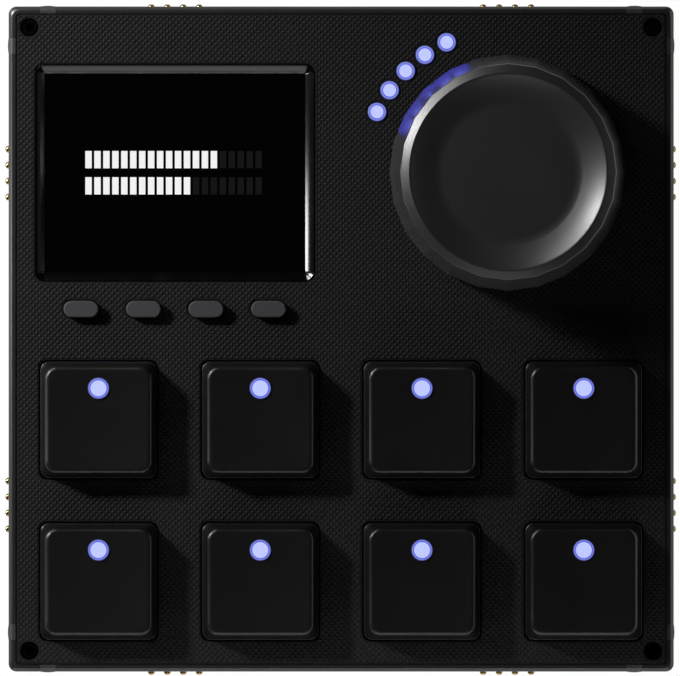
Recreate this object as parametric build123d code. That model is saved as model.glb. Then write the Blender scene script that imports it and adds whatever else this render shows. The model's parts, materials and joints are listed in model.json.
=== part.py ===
from build123d import *
import os
from math import cos, radians, sin, sqrt, tan

# Square desktop audio controller: a tray with a let-in panel, a small display with four soft
# buttons, one large dial beside an arc of lights, and two rows of four lit keys.
# Millimetres, +Z up. The origin is the middle of the surface that the feet stand on,
# -Y is the front edge and +X is the right edge.

# Case
body_corner = 1.25
rim_width = 1.1
rim_round = 0.55
base_round = 0.8
wall = 2.0
floor_thickness = 1.8
panel_thickness = 2.4
panel_corner = 0.4
panel_gap = 0.1

# Feet
foot_radius = 4.5
foot_height = 2.0
foot_proud = 1.2
foot_inset = 10.0
foot_edge = 0.4
glue_gap = 0.1

# Heights inside the case
board_clearance = 2.6
board_thickness = 1.6
board_gap = 0.4
plate_rise = 5.0
plate_thickness = 1.5
panel_rise = 7.8

# Corner screws and the threaded inserts that they go into
screw_inset = 3.27
case_head_radius = 1.3
case_head_height = 1.2
case_shank_radius = 0.7
case_shank_length = 5.0
case_hex = 1.3
hex_depth = 0.7
head_well_radius = 1.45
head_well_depth = 1.7
insert_radius = 1.25
insert_length = 3.0
post_radius = 2.5
screw_clearance = 0.1
thread_clearance = 0.05

# Screws that hold the switch plate and the board
inner_head_radius = 1.9
inner_head_height = 1.3
inner_shank_radius = 1.0
inner_shank_length = 4.0
boss_radius = 3.0
boss_neck_radius = 2.1
boss_hole_spare = 0.5
board_boss_side = 12.0
board_boss_rear = 5.4

# Keys
key_columns = 4
key_rows = 2
side_margin = 5.0
key_gap = 7.06667
keys_to_soft = 6.5
key_travel = 4.0
cap_base = 18.2
cap_shoulder = 16.65
cap_corner = 1.3
cap_edge_round = 0.5
cap_dish_depth = 0.3
cap_wall = 1.4
cap_roof = 1.6
cap_post_radius = 2.75
opening_gap = 0.25
press_clearance = 0.4
skirt_clearance = 0.3

# Key switches
switch_side = 13.8
switch_rise = 6.6
switch_crown = 10.6
switch_flange = 15.6
flange_height = 1.0
plate_fit = 0.1
locator_radius = 1.95
locator_fit = 0.05
slider_x = 6.9
slider_y = 5.5
slider_height = 5.5
slider_lift = 0.2
slider_fit = 0.15
cross_span = 4.0
cross_bar = 1.2
cross_height = 3.8
socket_fit = 0.03

# Lights under the key windows
key_lens_offset = 4.94
key_lens_radius = 1.7
key_lens_bevel = 0.45
lens_proud = 0.1
lens_bevel_drop = 0.15
lens_fit = 0.05
key_led_radius = 1.5
key_led_bevel = 0.75
key_led_height = 4.0
key_led_seat = 1.2

# Display
window_length = 40.8
window_width = 31.1
bezel_width = 1.45
bezel_corner = 1.5
bezel_land = 0.2
bezel_drop = 0.65
bezel_lip = 0.3
bezel_gap = 0.15
bezel_flange = 0.8
bezel_flange_height = 1.0
glass_overlap = 0.85
glass_thickness = 1.1
glass_gap = 0.1
module_thickness = 2.4
display_side_margin = 4.15
display_rear_margin = 9.0
holder_height = 4.0
holder_shelf = 2.0
holder_leg = 4.0

# Display ribbon, its socket and the chips on the board
ribbon_width = 12.0
ribbon_thickness = 0.3
ribbon_bend = 3.0
ribbon_bond = 14.0
ribbon_front = 8.0
ribbon_tail = 5.0
socket_length = 15.0
socket_width = 4.0
socket_height = 1.2
chip_side = 10.0
chip_height = 1.0
memory_length = 6.0
memory_width = 5.0
chip_spread = 11.0
chip_rear = 8.0

# Soft buttons under the display
soft_count = 4
soft_pitch = 9.77
soft_drop = 4.33
soft_length = 5.5
soft_width = 2.63
soft_proud = 1.5
soft_edge_round = 0.25
soft_gap = 0.12
soft_lap = 0.4
soft_flange_height = 0.8
soft_post_radius = 1.2
soft_travel = 0.5
soft_fit = 0.1
tact_side = 6.0
tact_height = 3.5
tact_depth = 0.6

# Dial
knob_to_keys = 2.0
knob_facets = 24
knob_base = 18.3
knob_rim = 16.84
knob_rise = 23.0
knob_gap = 1.0
knob_crest = 15.37
knob_rim_angle = 28.0
knob_foot_bevel = 0.4
dish_floor = 11.2
dish_start_angle = 16.5
dish_end_angle = 30.5
knob_wall = 2.4
knob_roof = 2.6
knob_rib = 1.4
knob_ribs = 6
hub_radius = 5.0
hub_length = 14.0
hub_boss_wall = 2.0

# Rotary encoder under the dial
encoder_side = 12.0
encoder_height = 6.5
bushing_radius = 3.5
bushing_fit = 0.1
bushing_proud = 0.5
washer_radius = 5.5
washer_thickness = 0.5
nut_flats = 10.0
nut_height = 2.0
shaft_radius = 3.0
shaft_fit = 0.05
shaft_flat = 1.5
shaft_grip = 12.0
push_travel = 0.5
plunger_radius = 3.6
plunger_height = 0.8
plunger_floor = 0.6

# Arc of lights beside the dial
level_count = 5
level_first_angle = 115.0
level_step_angle = 10.0
level_gap = 4.2
level_edge = 3.608
level_to_display = 2.0
pipe_radius = 1.5
pipe_proud = 0.2
pipe_bevel = 0.4
pipe_collar = 2.0
pipe_collar_height = 1.0
level_led_x = 2.0
level_led_y = 1.25
level_led_height = 0.8
level_led_gap = 0.2

# Contacts in the side walls
contact_pitch = 2.5
contacts_per_group = 4
pin_radius = 0.55
pin_round = 0.45
pin_fit = 0.07
pin_collar_radius = 0.8
pin_collar_length = 0.8
collar_fit = 0.1
spring_pin_proud = 0.62
fixed_pin_proud = 0.46
pin_travel = 0.5
pin_back_room = 0.4
block_height = 3.4
block_depth = 4.0
block_margin = 1.5

# Magnets in the side walls
magnet_inset = 6.17
magnet_width = 2.5
magnet_height = 8.0
magnet_crown = 0.12
magnet_fit = 0.05

# USB inlet in the rear wall
usb_width = 8.94
usb_height = 3.26
usb_depth = 7.3
usb_shell = 0.35
usb_set_back = 0.5
usb_gap = 0.25
usb_tongue_width = 6.7
usb_tongue_height = 0.7
usb_tongue_length = 5.0
usb_back = 1.4

# Heights from the standing surface
case_bottom = foot_proud
floor_top = case_bottom + floor_thickness
board_bottom = floor_top + board_clearance
board_top = board_bottom + board_thickness
plate_top = board_top + plate_rise
plate_bottom = plate_top - plate_thickness
panel_top = plate_top + panel_rise
panel_bottom = panel_top - panel_thickness

# Display and arc of lights in plan
bezel_length = window_length + 2 * bezel_width
bezel_depth = window_width + 2 * bezel_width
level_radius = knob_base + level_gap
level_angles = [level_first_angle + index * level_step_angle for index in range(level_count)]
level_side_reach = level_radius * max(-cos(radians(a)) for a in level_angles) + pipe_collar
level_rear_reach = level_radius * max(sin(radians(a)) for a in level_angles) + pipe_collar
knob_margin = level_rear_reach + level_edge

# The body is square, and its side is that of the longest row of pieces that has to fit in it
key_pitch = cap_base + key_gap
key_depth = side_margin + cap_base + (key_rows - 1) * key_pitch
key_row = cap_base + (key_columns - 1) * key_pitch + 2 * side_margin
display_column = display_rear_margin + bezel_depth + soft_drop + soft_width / 2 + keys_to_soft + key_depth
display_row = display_side_margin + bezel_length + bezel_flange + level_to_display
dial_row = display_row + level_side_reach + knob_margin
dial_column = knob_margin + knob_base + knob_to_keys + key_depth
body_side = max(key_row, display_column, dial_row, dial_column)
half = body_side / 2

# Plan sizes that follow from the case
inner_side = body_side - 2 * wall
recess_side = body_side - 2 * rim_width
panel_side = recess_side - 2 * panel_gap
board_side = inner_side - 2 * board_gap
post_offset = half - screw_inset
foot_offset = half - foot_inset
corners = [(sx, sy) for sx in (-1, 1) for sy in (-1, 1)]
post_places = [(sx * post_offset, sy * post_offset) for sx, sy in corners]

# Key field
first_column = -(key_columns - 1) * key_pitch / 2
first_row = -half + side_margin + cap_base / 2
key_places = [
    (first_column + column * key_pitch, first_row + row * key_pitch)
    for row in reversed(range(key_rows))
    for column in range(key_columns)
]
plate_screw_places = [
    (first_column + (column + 0.5) * key_pitch, first_row + 0.5 * key_pitch)
    for column in range(key_columns - 1)
]
board_screw_places = [
    (side * (half - board_boss_side), half - wall - board_boss_rear) for side in (-1, 1)
]

# Heights of one key at rest
switch_top = plate_top + switch_rise
slider_top = switch_top + slider_lift
slider_bottom = slider_top - slider_height
cap_ceiling = switch_top + key_travel + press_clearance
cap_top = cap_ceiling + cap_roof
cap_skirt = plate_top + flange_height + key_travel + skirt_clearance
cap_lens_top = cap_top - cap_dish_depth + lens_proud

# Display, soft buttons, dial and lights in plan
display_x = -half + display_side_margin + bezel_length / 2
display_y = half - display_rear_margin - bezel_depth / 2
glass_length = window_length + 2 * glass_overlap
glass_width = window_width + 2 * glass_overlap
flange_length = bezel_length + 2 * bezel_flange
flange_width = bezel_depth + 2 * bezel_flange
soft_y = display_y - bezel_depth / 2 - soft_drop
soft_places = [
    (display_x + (index - (soft_count - 1) / 2) * soft_pitch, soft_y) for index in range(soft_count)
]
knob_x = half - knob_margin
knob_y = half - knob_margin
level_places = [
    (knob_x + level_radius * cos(radians(a)), knob_y + level_radius * sin(radians(a)))
    for a in level_angles
]

# Heights of the display, the dial and the contacts
glass_top = panel_top - bezel_drop - bezel_lip
glass_bottom = glass_top - glass_thickness
module_bottom = glass_bottom - module_thickness
bezel_bottom = panel_bottom - bezel_flange_height
knob_top = panel_top + knob_rise
knob_bottom = panel_top + knob_gap
bushing_top = panel_top + washer_thickness + nut_height + bushing_proud
hub_bottom = bushing_top + push_travel + press_clearance
hub_top = hub_bottom + hub_length
shaft_top = hub_bottom + shaft_grip
plunger_bottom = board_top + plunger_floor + push_travel
plunger_top = plunger_bottom + plunger_height
ribbon_top = module_bottom - ribbon_thickness / 2
ribbon_foot = board_top + socket_height / 2
ribbon_turn_y = display_y - ribbon_front
socket_front = ribbon_turn_y + ribbon_tail
pin_height = board_top + block_height / 2
usb_middle = board_top + usb_height / 2
group_offset = half - knob_margin
group_span = (contacts_per_group - 1) * contact_pitch
pin_places = [
    sign * group_offset + (index - (contacts_per_group - 1) / 2) * contact_pitch
    for sign in (-1, 1)
    for index in range(contacts_per_group)
]


def slab(length, width, bottom, top, corner=0.0):
    """Flat block centred on the Z axis, with rounded upright corners where a radius is given."""
    outline = RectangleRounded(length, width, corner) if corner else Rectangle(length, width)
    return Pos(0, 0, bottom) * extrude(outline, top - bottom)


def rod(radius, bottom, top):
    """Upright cylinder on the Z axis."""
    return Pos(0, 0, bottom) * extrude(Circle(radius), top - bottom)


def stadium(length, width, bottom, top):
    """Upright block with two half-round ends."""
    return Pos(0, 0, bottom) * extrude(SlotOverall(length, width), top - bottom)


def at(places, shape):
    """Copies of a shape at several places in plan."""
    return [Pos(x, y, 0) * shape for x, y in places]


def on_side(turn, offset, shape):
    """Carry a shape made against the middle of the front wall round to one wall."""
    return Rot(0, 0, turn) * Pos(offset, -half, 0) * shape


def top_edges(shape):
    """Edges that lie highest on a shape."""
    return shape.edges().group_by(Axis.Z)[-1]


def window_rod(radius, bottom, top, bevel):
    """Upright clear rod whose face has a wide, shallow bevel round it."""
    window = rod(radius, bottom, top)
    face = window.faces().sort_by(Axis.Z)[-1]
    return chamfer(face.edges(), bevel, lens_bevel_drop, reference=face)


def outward(shape):
    """Turn a shape made along +Z so that it points out through the front wall."""
    return Pos(0, 0, pin_height) * Rot(90, 0, 0) * shape


# Walls by the turn that carries the front wall to them
front_angle, right_angle, rear_angle, left_angle = 0, 90, 180, 270
wall_angles = (front_angle, right_angle, rear_angle, left_angle)


def contact_pin(proud):
    """Round-headed contact with a collar behind the wall, its zero on the wall's outer face."""
    shank = rod(pin_radius, -wall, proud)
    shank = fillet(top_edges(shank), pin_round)
    return shank + rod(pin_collar_radius, -wall - pin_collar_length, -wall)


def pin_row(turn, proud):
    """All the contacts in one wall."""
    pin = outward(contact_pin(proud))
    return [on_side(turn, place, pin) for place in pin_places]


def contact_block(centre):
    """Insulating block on the board behind one group, bored for the pins' collars."""
    length = group_span + 2 * block_margin
    block = slab(length, block_depth, board_top, board_top + block_height)
    block = Pos(0, wall + block_depth / 2, 0) * block
    depth = pin_collar_length + pin_travel + pin_back_room
    bore = outward(rod(pin_collar_radius + collar_fit, -wall - depth, -wall))
    for place in pin_places:
        if place * centre > 0:
            block -= Pos(place - centre, 0, 0) * bore
    return block


def magnet(spare=0.0):
    """Bar magnet with a slightly crowned outer face, or its pocket when spare is given."""
    across = magnet_width / 2 + spare
    back = rim_width + spare
    crown = -magnet_crown - spare
    outline = make_face(
        [
            Line((-across, 0), (-across, back)),
            Line((-across, back), (across, back)),
            Line((across, back), (across, 0)),
            ThreePointArc((across, 0), (0, crown), (-across, 0)),
        ]
    )
    bar = Pos(0, 0, panel_top - magnet_height - spare) * extrude(outline, magnet_height + 2 * spare)
    if spare:
        return bar
    return fillet(top_edges(bar).sort_by(Axis.Y)[0], rim_round)


def boss(height, neck_height):
    """Round boss on the tray's floor, with a thinner neck above the board's underside."""
    post = rod(boss_radius, floor_top, height)
    if neck_height > height:
        post += rod(boss_neck_radius, height, neck_height)
    return post


def case_tray():
    """Tray with a rim, corner posts, bosses and holes for what shows through its walls."""
    blank = slab(body_side, body_side, case_bottom, panel_top, body_corner)
    blank = fillet(top_edges(blank), rim_round)
    blank = fillet(blank.edges().group_by(Axis.Z)[0], base_round)
    tray = blank - slab(inner_side, inner_side, floor_top, panel_bottom)
    tray -= slab(recess_side, recess_side, panel_bottom, panel_top, panel_corner + panel_gap)

    post = rod(post_radius, floor_top, panel_bottom)
    tray += [part & blank for part in at(post_places, post)]
    screw_bottom = panel_top - head_well_depth - case_shank_length
    insert_bore = rod(insert_radius, panel_bottom - insert_length, panel_bottom)
    tip_room = rod(case_shank_radius + screw_clearance, screw_bottom - boss_hole_spare, panel_bottom)
    tray -= at(post_places, insert_bore + tip_room)

    tray += at(plate_screw_places, boss(board_bottom, plate_bottom))
    tray += at(board_screw_places, boss(board_bottom, board_bottom))
    hole_radius = inner_shank_radius + thread_clearance
    hole_depth = inner_shank_length + boss_hole_spare
    tray -= at(plate_screw_places, rod(hole_radius, plate_top - hole_depth, plate_bottom))
    tray -= at(board_screw_places, rod(hole_radius, board_top - hole_depth, board_bottom))

    foot_pocket = rod(foot_radius + glue_gap, case_bottom, foot_height)
    tray -= at([(sx * foot_offset, sy * foot_offset) for sx, sy in corners], foot_pocket)

    pin_hole = outward(rod(pin_radius + pin_fit, -wall, 0))
    tray -= [on_side(turn, place, pin_hole) for turn in wall_angles for place in pin_places]
    pocket = magnet(magnet_fit)
    tray -= [on_side(turn, s * (half - magnet_inset), pocket) for turn in wall_angles for s in (-1, 1)]

    usb_cut = Pos(0, wall / 2, usb_middle) * Rot(90, 0, 0) * extrude(
        SlotOverall(usb_width + 2 * usb_gap, usb_height + 2 * usb_gap), wall / 2, both=True
    )
    return tray - on_side(rear_angle, 0, usb_cut)


def top_panel():
    """Flat panel with wells for its screws and openings for everything on it."""
    panel = slab(panel_side, panel_side, panel_bottom, panel_top, panel_corner)
    panel -= at(post_places, rod(head_well_radius, panel_top - head_well_depth, panel_top))
    panel -= at(post_places, rod(case_shank_radius + screw_clearance, panel_bottom, panel_top))

    opening = cap_base + 2 * opening_gap
    panel -= at(key_places, slab(opening, opening, panel_bottom, panel_top, cap_corner))
    slot_length = soft_length + 2 * soft_gap
    slot_width = soft_width + 2 * soft_gap
    panel -= at(soft_places, stadium(slot_length, slot_width, panel_bottom, panel_top))
    panel -= at(level_places, rod(pipe_radius + lens_fit, panel_bottom, panel_top))
    panel -= Pos(knob_x, knob_y, 0) * rod(bushing_radius + bushing_fit, panel_bottom, panel_top)
    screen_cut = slab(
        bezel_length + 2 * bezel_gap,
        bezel_depth + 2 * bezel_gap,
        panel_bottom,
        panel_top,
        bezel_corner + bezel_gap,
    )
    return panel - Pos(display_x, display_y, 0) * screen_cut


def post_notches(bottom, top):
    """Room round the corner posts for a flat piece inside the tray."""
    return at(post_places, rod(post_radius + board_gap, bottom, top))


def switch_plate():
    """Metal plate that the key switches snap into."""
    rear_edge = key_places[0][1] + key_pitch / 2
    front_edge = -board_side / 2
    plate = Pos(0, (rear_edge + front_edge) / 2, 0) * slab(
        board_side, rear_edge - front_edge, plate_bottom, plate_top
    )
    cut = switch_side + 2 * plate_fit
    plate -= at(key_places, slab(cut, cut, plate_bottom, plate_top))
    plate -= at(plate_screw_places, rod(inner_shank_radius + screw_clearance, plate_bottom, plate_top))
    return plate - post_notches(plate_bottom, plate_top)


def main_board():
    """Circuit board over the whole floor, cut away round the posts and the necks of the bosses."""
    board = slab(board_side, board_side, board_bottom, board_top)
    board -= post_notches(board_bottom, board_top)
    board -= at(key_places, rod(locator_radius + locator_fit, board_bottom, board_top))
    board -= at(plate_screw_places, rod(boss_neck_radius + screw_clearance, board_bottom, board_top))
    return board - at(
        board_screw_places, rod(inner_shank_radius + screw_clearance, board_bottom, board_top)
    )


def switch_housing():
    """Closed key switch with a well for its slider and a seat for its light."""
    housing = slab(switch_side, switch_side, board_top, plate_top)
    housing += slab(switch_flange, switch_flange, plate_top, plate_top + flange_height)
    crown_base = Pos(0, 0, plate_top + flange_height) * Rectangle(switch_side, switch_side)
    crown = Pos(0, 0, switch_top) * Rectangle(switch_crown, switch_crown)
    housing += loft([crown_base, crown])
    housing += rod(locator_radius, board_bottom, board_top)
    well_x = slider_x + 2 * slider_fit
    well_y = slider_y + 2 * slider_fit
    housing -= slab(well_x, well_y, slider_bottom - key_travel - slider_fit, switch_top)
    led_room = rod(key_led_radius + lens_fit, plate_top + key_led_seat, switch_top)
    return housing - Pos(0, key_lens_offset, 0) * led_room


def key_stem():
    """Slider with the cross that the keycap pushes on to."""
    stem = slab(slider_x, slider_y, slider_bottom, slider_top)
    stem += slab(cross_span, cross_bar, slider_top, slider_top + cross_height)
    return stem + slab(cross_bar, cross_span, slider_top, slider_top + cross_height)


def cap_solid(base, shoulder, corner, top):
    """Block with rounded corners, straight in the panel's opening and tapered above it."""
    skirt = slab(base, base, cap_skirt, panel_top, corner)
    low = Pos(0, 0, panel_top) * RectangleRounded(base, base, corner)
    high = Pos(0, 0, top) * RectangleRounded(shoulder, shoulder, corner)
    return skirt + loft([low, high])


def keycap():
    """Hollow keycap with a dished top, a socketed post and a hole for its light window."""
    cap = cap_solid(cap_base, cap_shoulder, cap_corner, cap_top)
    reach = cap_shoulder / sqrt(2)
    dish_radius = (reach**2 + cap_dish_depth**2) / (2 * cap_dish_depth)
    cap -= Pos(0, 0, cap_top - cap_dish_depth + dish_radius) * Sphere(dish_radius)
    rim = [edge for edge in cap.edges() if edge.center().Z > cap_ceiling]
    rim = [edge for edge in rim if edge.bounding_box().size.Z < cap_dish_depth]
    cap = fillet(rim, cap_edge_round)
    slope = (cap_base - cap_shoulder) / (cap_top - panel_top)
    inside_base = cap_base - 2 * cap_wall
    inside_top = inside_base - slope * (cap_ceiling - panel_top)
    cap -= cap_solid(inside_base, inside_top, cap_edge_round, cap_ceiling)

    post = rod(cap_post_radius, slider_top, cap_ceiling)
    socket_span = cross_span + 2 * socket_fit
    socket_bar = cross_bar + 2 * socket_fit
    socket_top = slider_top + cross_height + socket_fit
    post -= slab(socket_span, socket_bar, slider_top, socket_top)
    post -= slab(socket_bar, socket_span, slider_top, socket_top)
    window = Pos(0, key_lens_offset, 0) * rod(key_lens_radius + lens_fit, cap_ceiling, cap_top)
    return cap + post - window


def key_lens():
    """Clear window plug with a bevelled edge, let into the keycap's top."""
    return Pos(0, key_lens_offset, 0) * window_rod(
        key_lens_radius, cap_ceiling, cap_lens_top, key_lens_bevel
    )


def key_led():
    """Small round light seated in the key switch."""
    seat = plate_top + key_led_seat
    lamp = rod(key_led_radius, seat, seat + key_led_height)
    return Pos(0, key_lens_offset, 0) * chamfer(top_edges(lamp), key_led_bevel)


def soft_button():
    """Soft button with a flange under the panel and a post down to its switch."""
    cap = stadium(soft_length, soft_width, panel_bottom, panel_top + soft_proud)
    cap = fillet(top_edges(cap), soft_edge_round)
    lap = 2 * (soft_gap + soft_lap)
    flange_bottom = panel_bottom - soft_flange_height
    cap += stadium(soft_length + lap, soft_width + lap, flange_bottom, panel_bottom)
    return cap + rod(soft_post_radius, board_top + tact_height - tact_depth, flange_bottom)


def tact_switch():
    """Board switch with a well for the soft button's post."""
    body = slab(tact_side, tact_side, board_top, board_top + tact_height)
    well_bottom = board_top + tact_height - tact_depth - soft_travel
    return body - rod(soft_post_radius + soft_fit, well_bottom - soft_fit, board_top + tact_height)


def display_bezel():
    """Glossy frame whose face slopes down to the glass, flanged under the panel."""
    frame = slab(bezel_length, bezel_depth, bezel_bottom, panel_top, bezel_corner)
    frame += slab(flange_length, flange_width, bezel_bottom, panel_bottom, bezel_corner)
    window_corner = bezel_corner - bezel_land - bezel_gap
    mouth = RectangleRounded(bezel_length - 2 * bezel_land, bezel_depth - 2 * bezel_land, window_corner)
    throat = RectangleRounded(window_length, window_width, bezel_gap)
    frame -= loft([Pos(0, 0, panel_top) * mouth, Pos(0, 0, panel_top - bezel_drop) * throat])
    frame -= slab(window_length, window_width, bezel_bottom, panel_top, bezel_gap)
    frame -= slab(
        glass_length + 2 * glass_gap, glass_width + 2 * glass_gap, bezel_bottom, glass_top
    )
    return Pos(display_x, display_y, 0) * frame


def display_holder():
    """Open frame on four legs that carries the display module under the bezel."""
    frame = slab(flange_length, flange_width, bezel_bottom - holder_height, bezel_bottom)
    frame -= slab(
        glass_length + 2 * glass_gap, glass_width + 2 * glass_gap, module_bottom, bezel_bottom
    )
    frame -= slab(
        glass_length - 2 * holder_shelf,
        glass_width - 2 * holder_shelf,
        bezel_bottom - holder_height,
        module_bottom,
    )
    leg_x = flange_length / 2 - holder_leg / 2
    leg_y = flange_width / 2 - holder_leg / 2
    leg = slab(holder_leg, holder_leg, board_top, bezel_bottom - holder_height)
    frame += at([(sx * leg_x, sy * leg_y) for sx, sy in corners], leg)
    return Pos(display_x, display_y, 0) * frame


def at_display(length, width, bottom, top):
    """Flat piece centred under the display window."""
    return Pos(display_x, display_y, 0) * slab(length, width, bottom, top)


def display_ribbon():
    """Flat ribbon bonded under the display module, bent down and back to its socket."""
    path = FilletPolyline(
        (display_x, ribbon_turn_y + ribbon_bond, ribbon_top),
        (display_x, ribbon_turn_y, ribbon_top),
        (display_x, ribbon_turn_y, ribbon_foot),
        (display_x, socket_front, ribbon_foot),
        radius=ribbon_bend,
    )
    section = Plane(origin=path @ 0, x_dir=(1, 0, 0), z_dir=path % 0)
    return sweep(section * Rectangle(ribbon_width, ribbon_thickness), path)


def board_components():
    """The ribbon's socket, the controller chip and its memory, under the display."""
    chip_y = display_y + chip_rear
    socket = slab(socket_length, socket_width, board_top, board_top + socket_height)
    controller = slab(chip_side, chip_side, board_top, board_top + chip_height)
    memory = slab(memory_length, memory_width, board_top, board_top + chip_height)
    return [
        Pos(display_x, socket_front + socket_width / 2, 0) * socket,
        Pos(display_x - chip_spread, chip_y, 0) * controller,
        Pos(display_x + chip_spread, chip_y, 0) * memory,
    ]


def knob_body():
    """Hollow dial with flat facets, a sloping rim and a dished top."""
    turn = 180 / knob_facets
    facets = [
        Pos(0, 0, height) * RegularPolygon(flat, knob_facets, major_radius=False, rotation=turn)
        for flat, height in ((knob_base, knob_bottom), (knob_rim, knob_top))
    ]
    skirt = loft(facets)
    skirt = chamfer(skirt.edges().group_by(Axis.Z)[0], knob_foot_bevel)
    slope = tan(radians(knob_rim_angle))
    far = knob_base + knob_wall
    start, end = radians(dish_start_angle), radians(dish_end_angle)
    cove_radius = (knob_crest - dish_floor) / (sin(end) - sin(start))
    floor_height = knob_top - cove_radius * (cos(start) - cos(end))
    rise = (cos(start), sin(start))
    cove = JernArc((dish_floor, floor_height), rise, cove_radius, dish_end_angle - dish_start_angle)
    profile = make_face(
        [
            Line((0, knob_bottom), (0, floor_height)),
            Line((0, floor_height), (dish_floor, floor_height)),
            cove,
            Line(cove @ 1, (far, knob_top - (far - knob_crest) * slope)),
            Line((far, knob_top - (far - knob_crest) * slope), (far, knob_bottom)),
            Line((far, knob_bottom), (0, knob_bottom)),
        ]
    )
    dial = skirt & revolve(Plane.XZ * profile, Axis.Z)

    ceiling = floor_height - knob_roof
    dial -= rod(knob_rim - knob_wall, knob_bottom, ceiling)
    dial += rod(hub_radius + hub_boss_wall, hub_bottom, ceiling)
    rib_length = knob_rim - knob_wall / 2
    rib = Pos(rib_length / 2, 0, 0) * slab(rib_length, knob_rib, hub_bottom, ceiling)
    dial += [Rot(0, 0, index * 360 / knob_ribs) * rib for index in range(knob_ribs)]
    dial -= rod(hub_radius, hub_bottom, hub_top)
    return Pos(knob_x, knob_y, 0) * dial


def d_rod(radius, flat, bottom, top):
    """Rod with one flat along it."""
    reach = 2 * radius
    cut = Pos(radius - flat + reach / 2, 0, 0) * slab(reach, reach, bottom, top)
    return rod(radius, bottom, top) - cut


def knob_hub():
    """Metal bush in the dial, with a bore that matches the flatted shaft."""
    bore = d_rod(shaft_radius + shaft_fit, shaft_flat, hub_bottom, shaft_top + shaft_fit)
    return Pos(knob_x, knob_y, 0) * (rod(hub_radius, hub_bottom, hub_top) - bore)


def encoder_shaft():
    """Round shaft with a flat where the dial grips it."""
    shaft = rod(shaft_radius, plunger_top, hub_bottom)
    return Pos(knob_x, knob_y, 0) * (shaft + d_rod(shaft_radius, shaft_flat, hub_bottom, shaft_top))


def encoder_body():
    """Encoder case on the board with its bushing up through the panel."""
    case = slab(encoder_side, encoder_side, board_top, board_top + encoder_height)
    case += rod(bushing_radius, board_top + encoder_height, bushing_top)
    room_top = plunger_top + shaft_fit
    case -= rod(plunger_radius + shaft_fit, board_top + plunger_floor, room_top)
    return Pos(knob_x, knob_y, 0) * (case - rod(shaft_radius + shaft_fit, plunger_top, bushing_top))


def encoder_washer():
    """Flat washer on the panel round the bushing."""
    ring = rod(washer_radius, panel_top, panel_top + washer_thickness)
    ring -= rod(bushing_radius + bushing_fit, panel_top, panel_top + washer_thickness)
    return Pos(knob_x, knob_y, 0) * ring


def encoder_nut():
    """Hexagon nut that clamps the bushing to the panel."""
    bottom = panel_top + washer_thickness
    hexagon = RegularPolygon(nut_flats / 2, 6, major_radius=False)
    nut = Pos(0, 0, bottom) * extrude(hexagon, nut_height)
    nut -= rod(bushing_radius + thread_clearance, bottom, bottom + nut_height)
    return Pos(knob_x, knob_y, 0) * nut


def level_pipe():
    """Light pipe with a bevelled face above the panel and a collar under it."""
    foot = board_top + level_led_height + level_led_gap
    pipe = window_rod(pipe_radius, foot, panel_top + pipe_proud, pipe_bevel)
    return pipe + rod(pipe_collar, panel_bottom - pipe_collar_height, panel_bottom)


def machine_screw(head_radius, head_height, shank_radius, shank_length, seat):
    """Round-headed screw standing in its hole, with the head's underside at seat."""
    return rod(head_radius, seat, seat + head_height) + rod(shank_radius, seat - shank_length, seat)


def case_screw():
    """Corner screw with a hexagon socket."""
    seat = panel_top - head_well_depth
    screw = machine_screw(case_head_radius, case_head_height, case_shank_radius, case_shank_length, seat)
    socket = extrude(RegularPolygon(case_hex / 2, 6, major_radius=False), hex_depth)
    return screw - Pos(0, 0, seat + case_head_height - hex_depth) * socket


def inner_screw(seat):
    """Screw for the plate or the board."""
    return machine_screw(
        inner_head_radius, inner_head_height, inner_shank_radius, inner_shank_length, seat
    )


def threaded_insert():
    """Brass insert in the top of a corner post."""
    ring = rod(insert_radius, panel_bottom - insert_length, panel_bottom)
    return ring - rod(case_shank_radius + thread_clearance, panel_bottom - insert_length, panel_bottom)


def foot():
    """Round rubber foot with an eased lower edge."""
    pad = rod(foot_radius, 0, foot_height)
    return chamfer(pad.edges().group_by(Axis.Z)[0], foot_edge)


def usb_inlet():
    """Metal shell with a contact tongue, standing on the board at the rear wall."""
    shell = extrude(SlotOverall(usb_width, usb_height), usb_depth)
    inside = SlotOverall(usb_width - 2 * usb_shell, usb_height - 2 * usb_shell)
    shell -= Pos(0, 0, usb_back) * extrude(inside, usb_depth - usb_back)
    shell += Pos(0, 0, usb_back) * extrude(
        Rectangle(usb_tongue_width, usb_tongue_height), usb_tongue_length
    )
    placed = Pos(0, usb_set_back + usb_depth, usb_middle) * Rot(90, 0, 0) * shell
    return on_side(rear_angle, 0, placed)


os.makedirs("parts", exist_ok=True)


def save(name, shape):
    """Write one node, a single solid or a list of separate like solids."""
    node = Compound(children=shape) if isinstance(shape, list) else shape
    export_step(node, f"parts/{name}.step")


save("case_tray", case_tray())
save("top_panel", top_panel())
save("switch_plate", switch_plate())
save("main_board", main_board())

save("switch_housings", at(key_places, switch_housing()))
save("key_leds", at(key_places, key_led()))
stem, cap, lens = key_stem(), keycap(), key_lens()
for number, (x, y) in enumerate(key_places, start=1):
    save(f"key_stem_{number}", Pos(x, y, 0) * stem)
    save(f"keycap_{number}", Pos(x, y, 0) * cap)
    save(f"key_lens_{number}", Pos(x, y, 0) * lens)

save("soft_switches", at(soft_places, tact_switch()))
button = soft_button()
for number, (x, y) in enumerate(soft_places, start=1):
    save(f"soft_button_{number}", Pos(x, y, 0) * button)

save("display_bezel", display_bezel())
save("cover_glass", at_display(glass_length, glass_width, glass_bottom, glass_top))
save("display_module", at_display(glass_length, glass_width, module_bottom, glass_bottom))
save("display_holder", display_holder())
save("display_ribbon", display_ribbon())
save("board_components", board_components())

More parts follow.
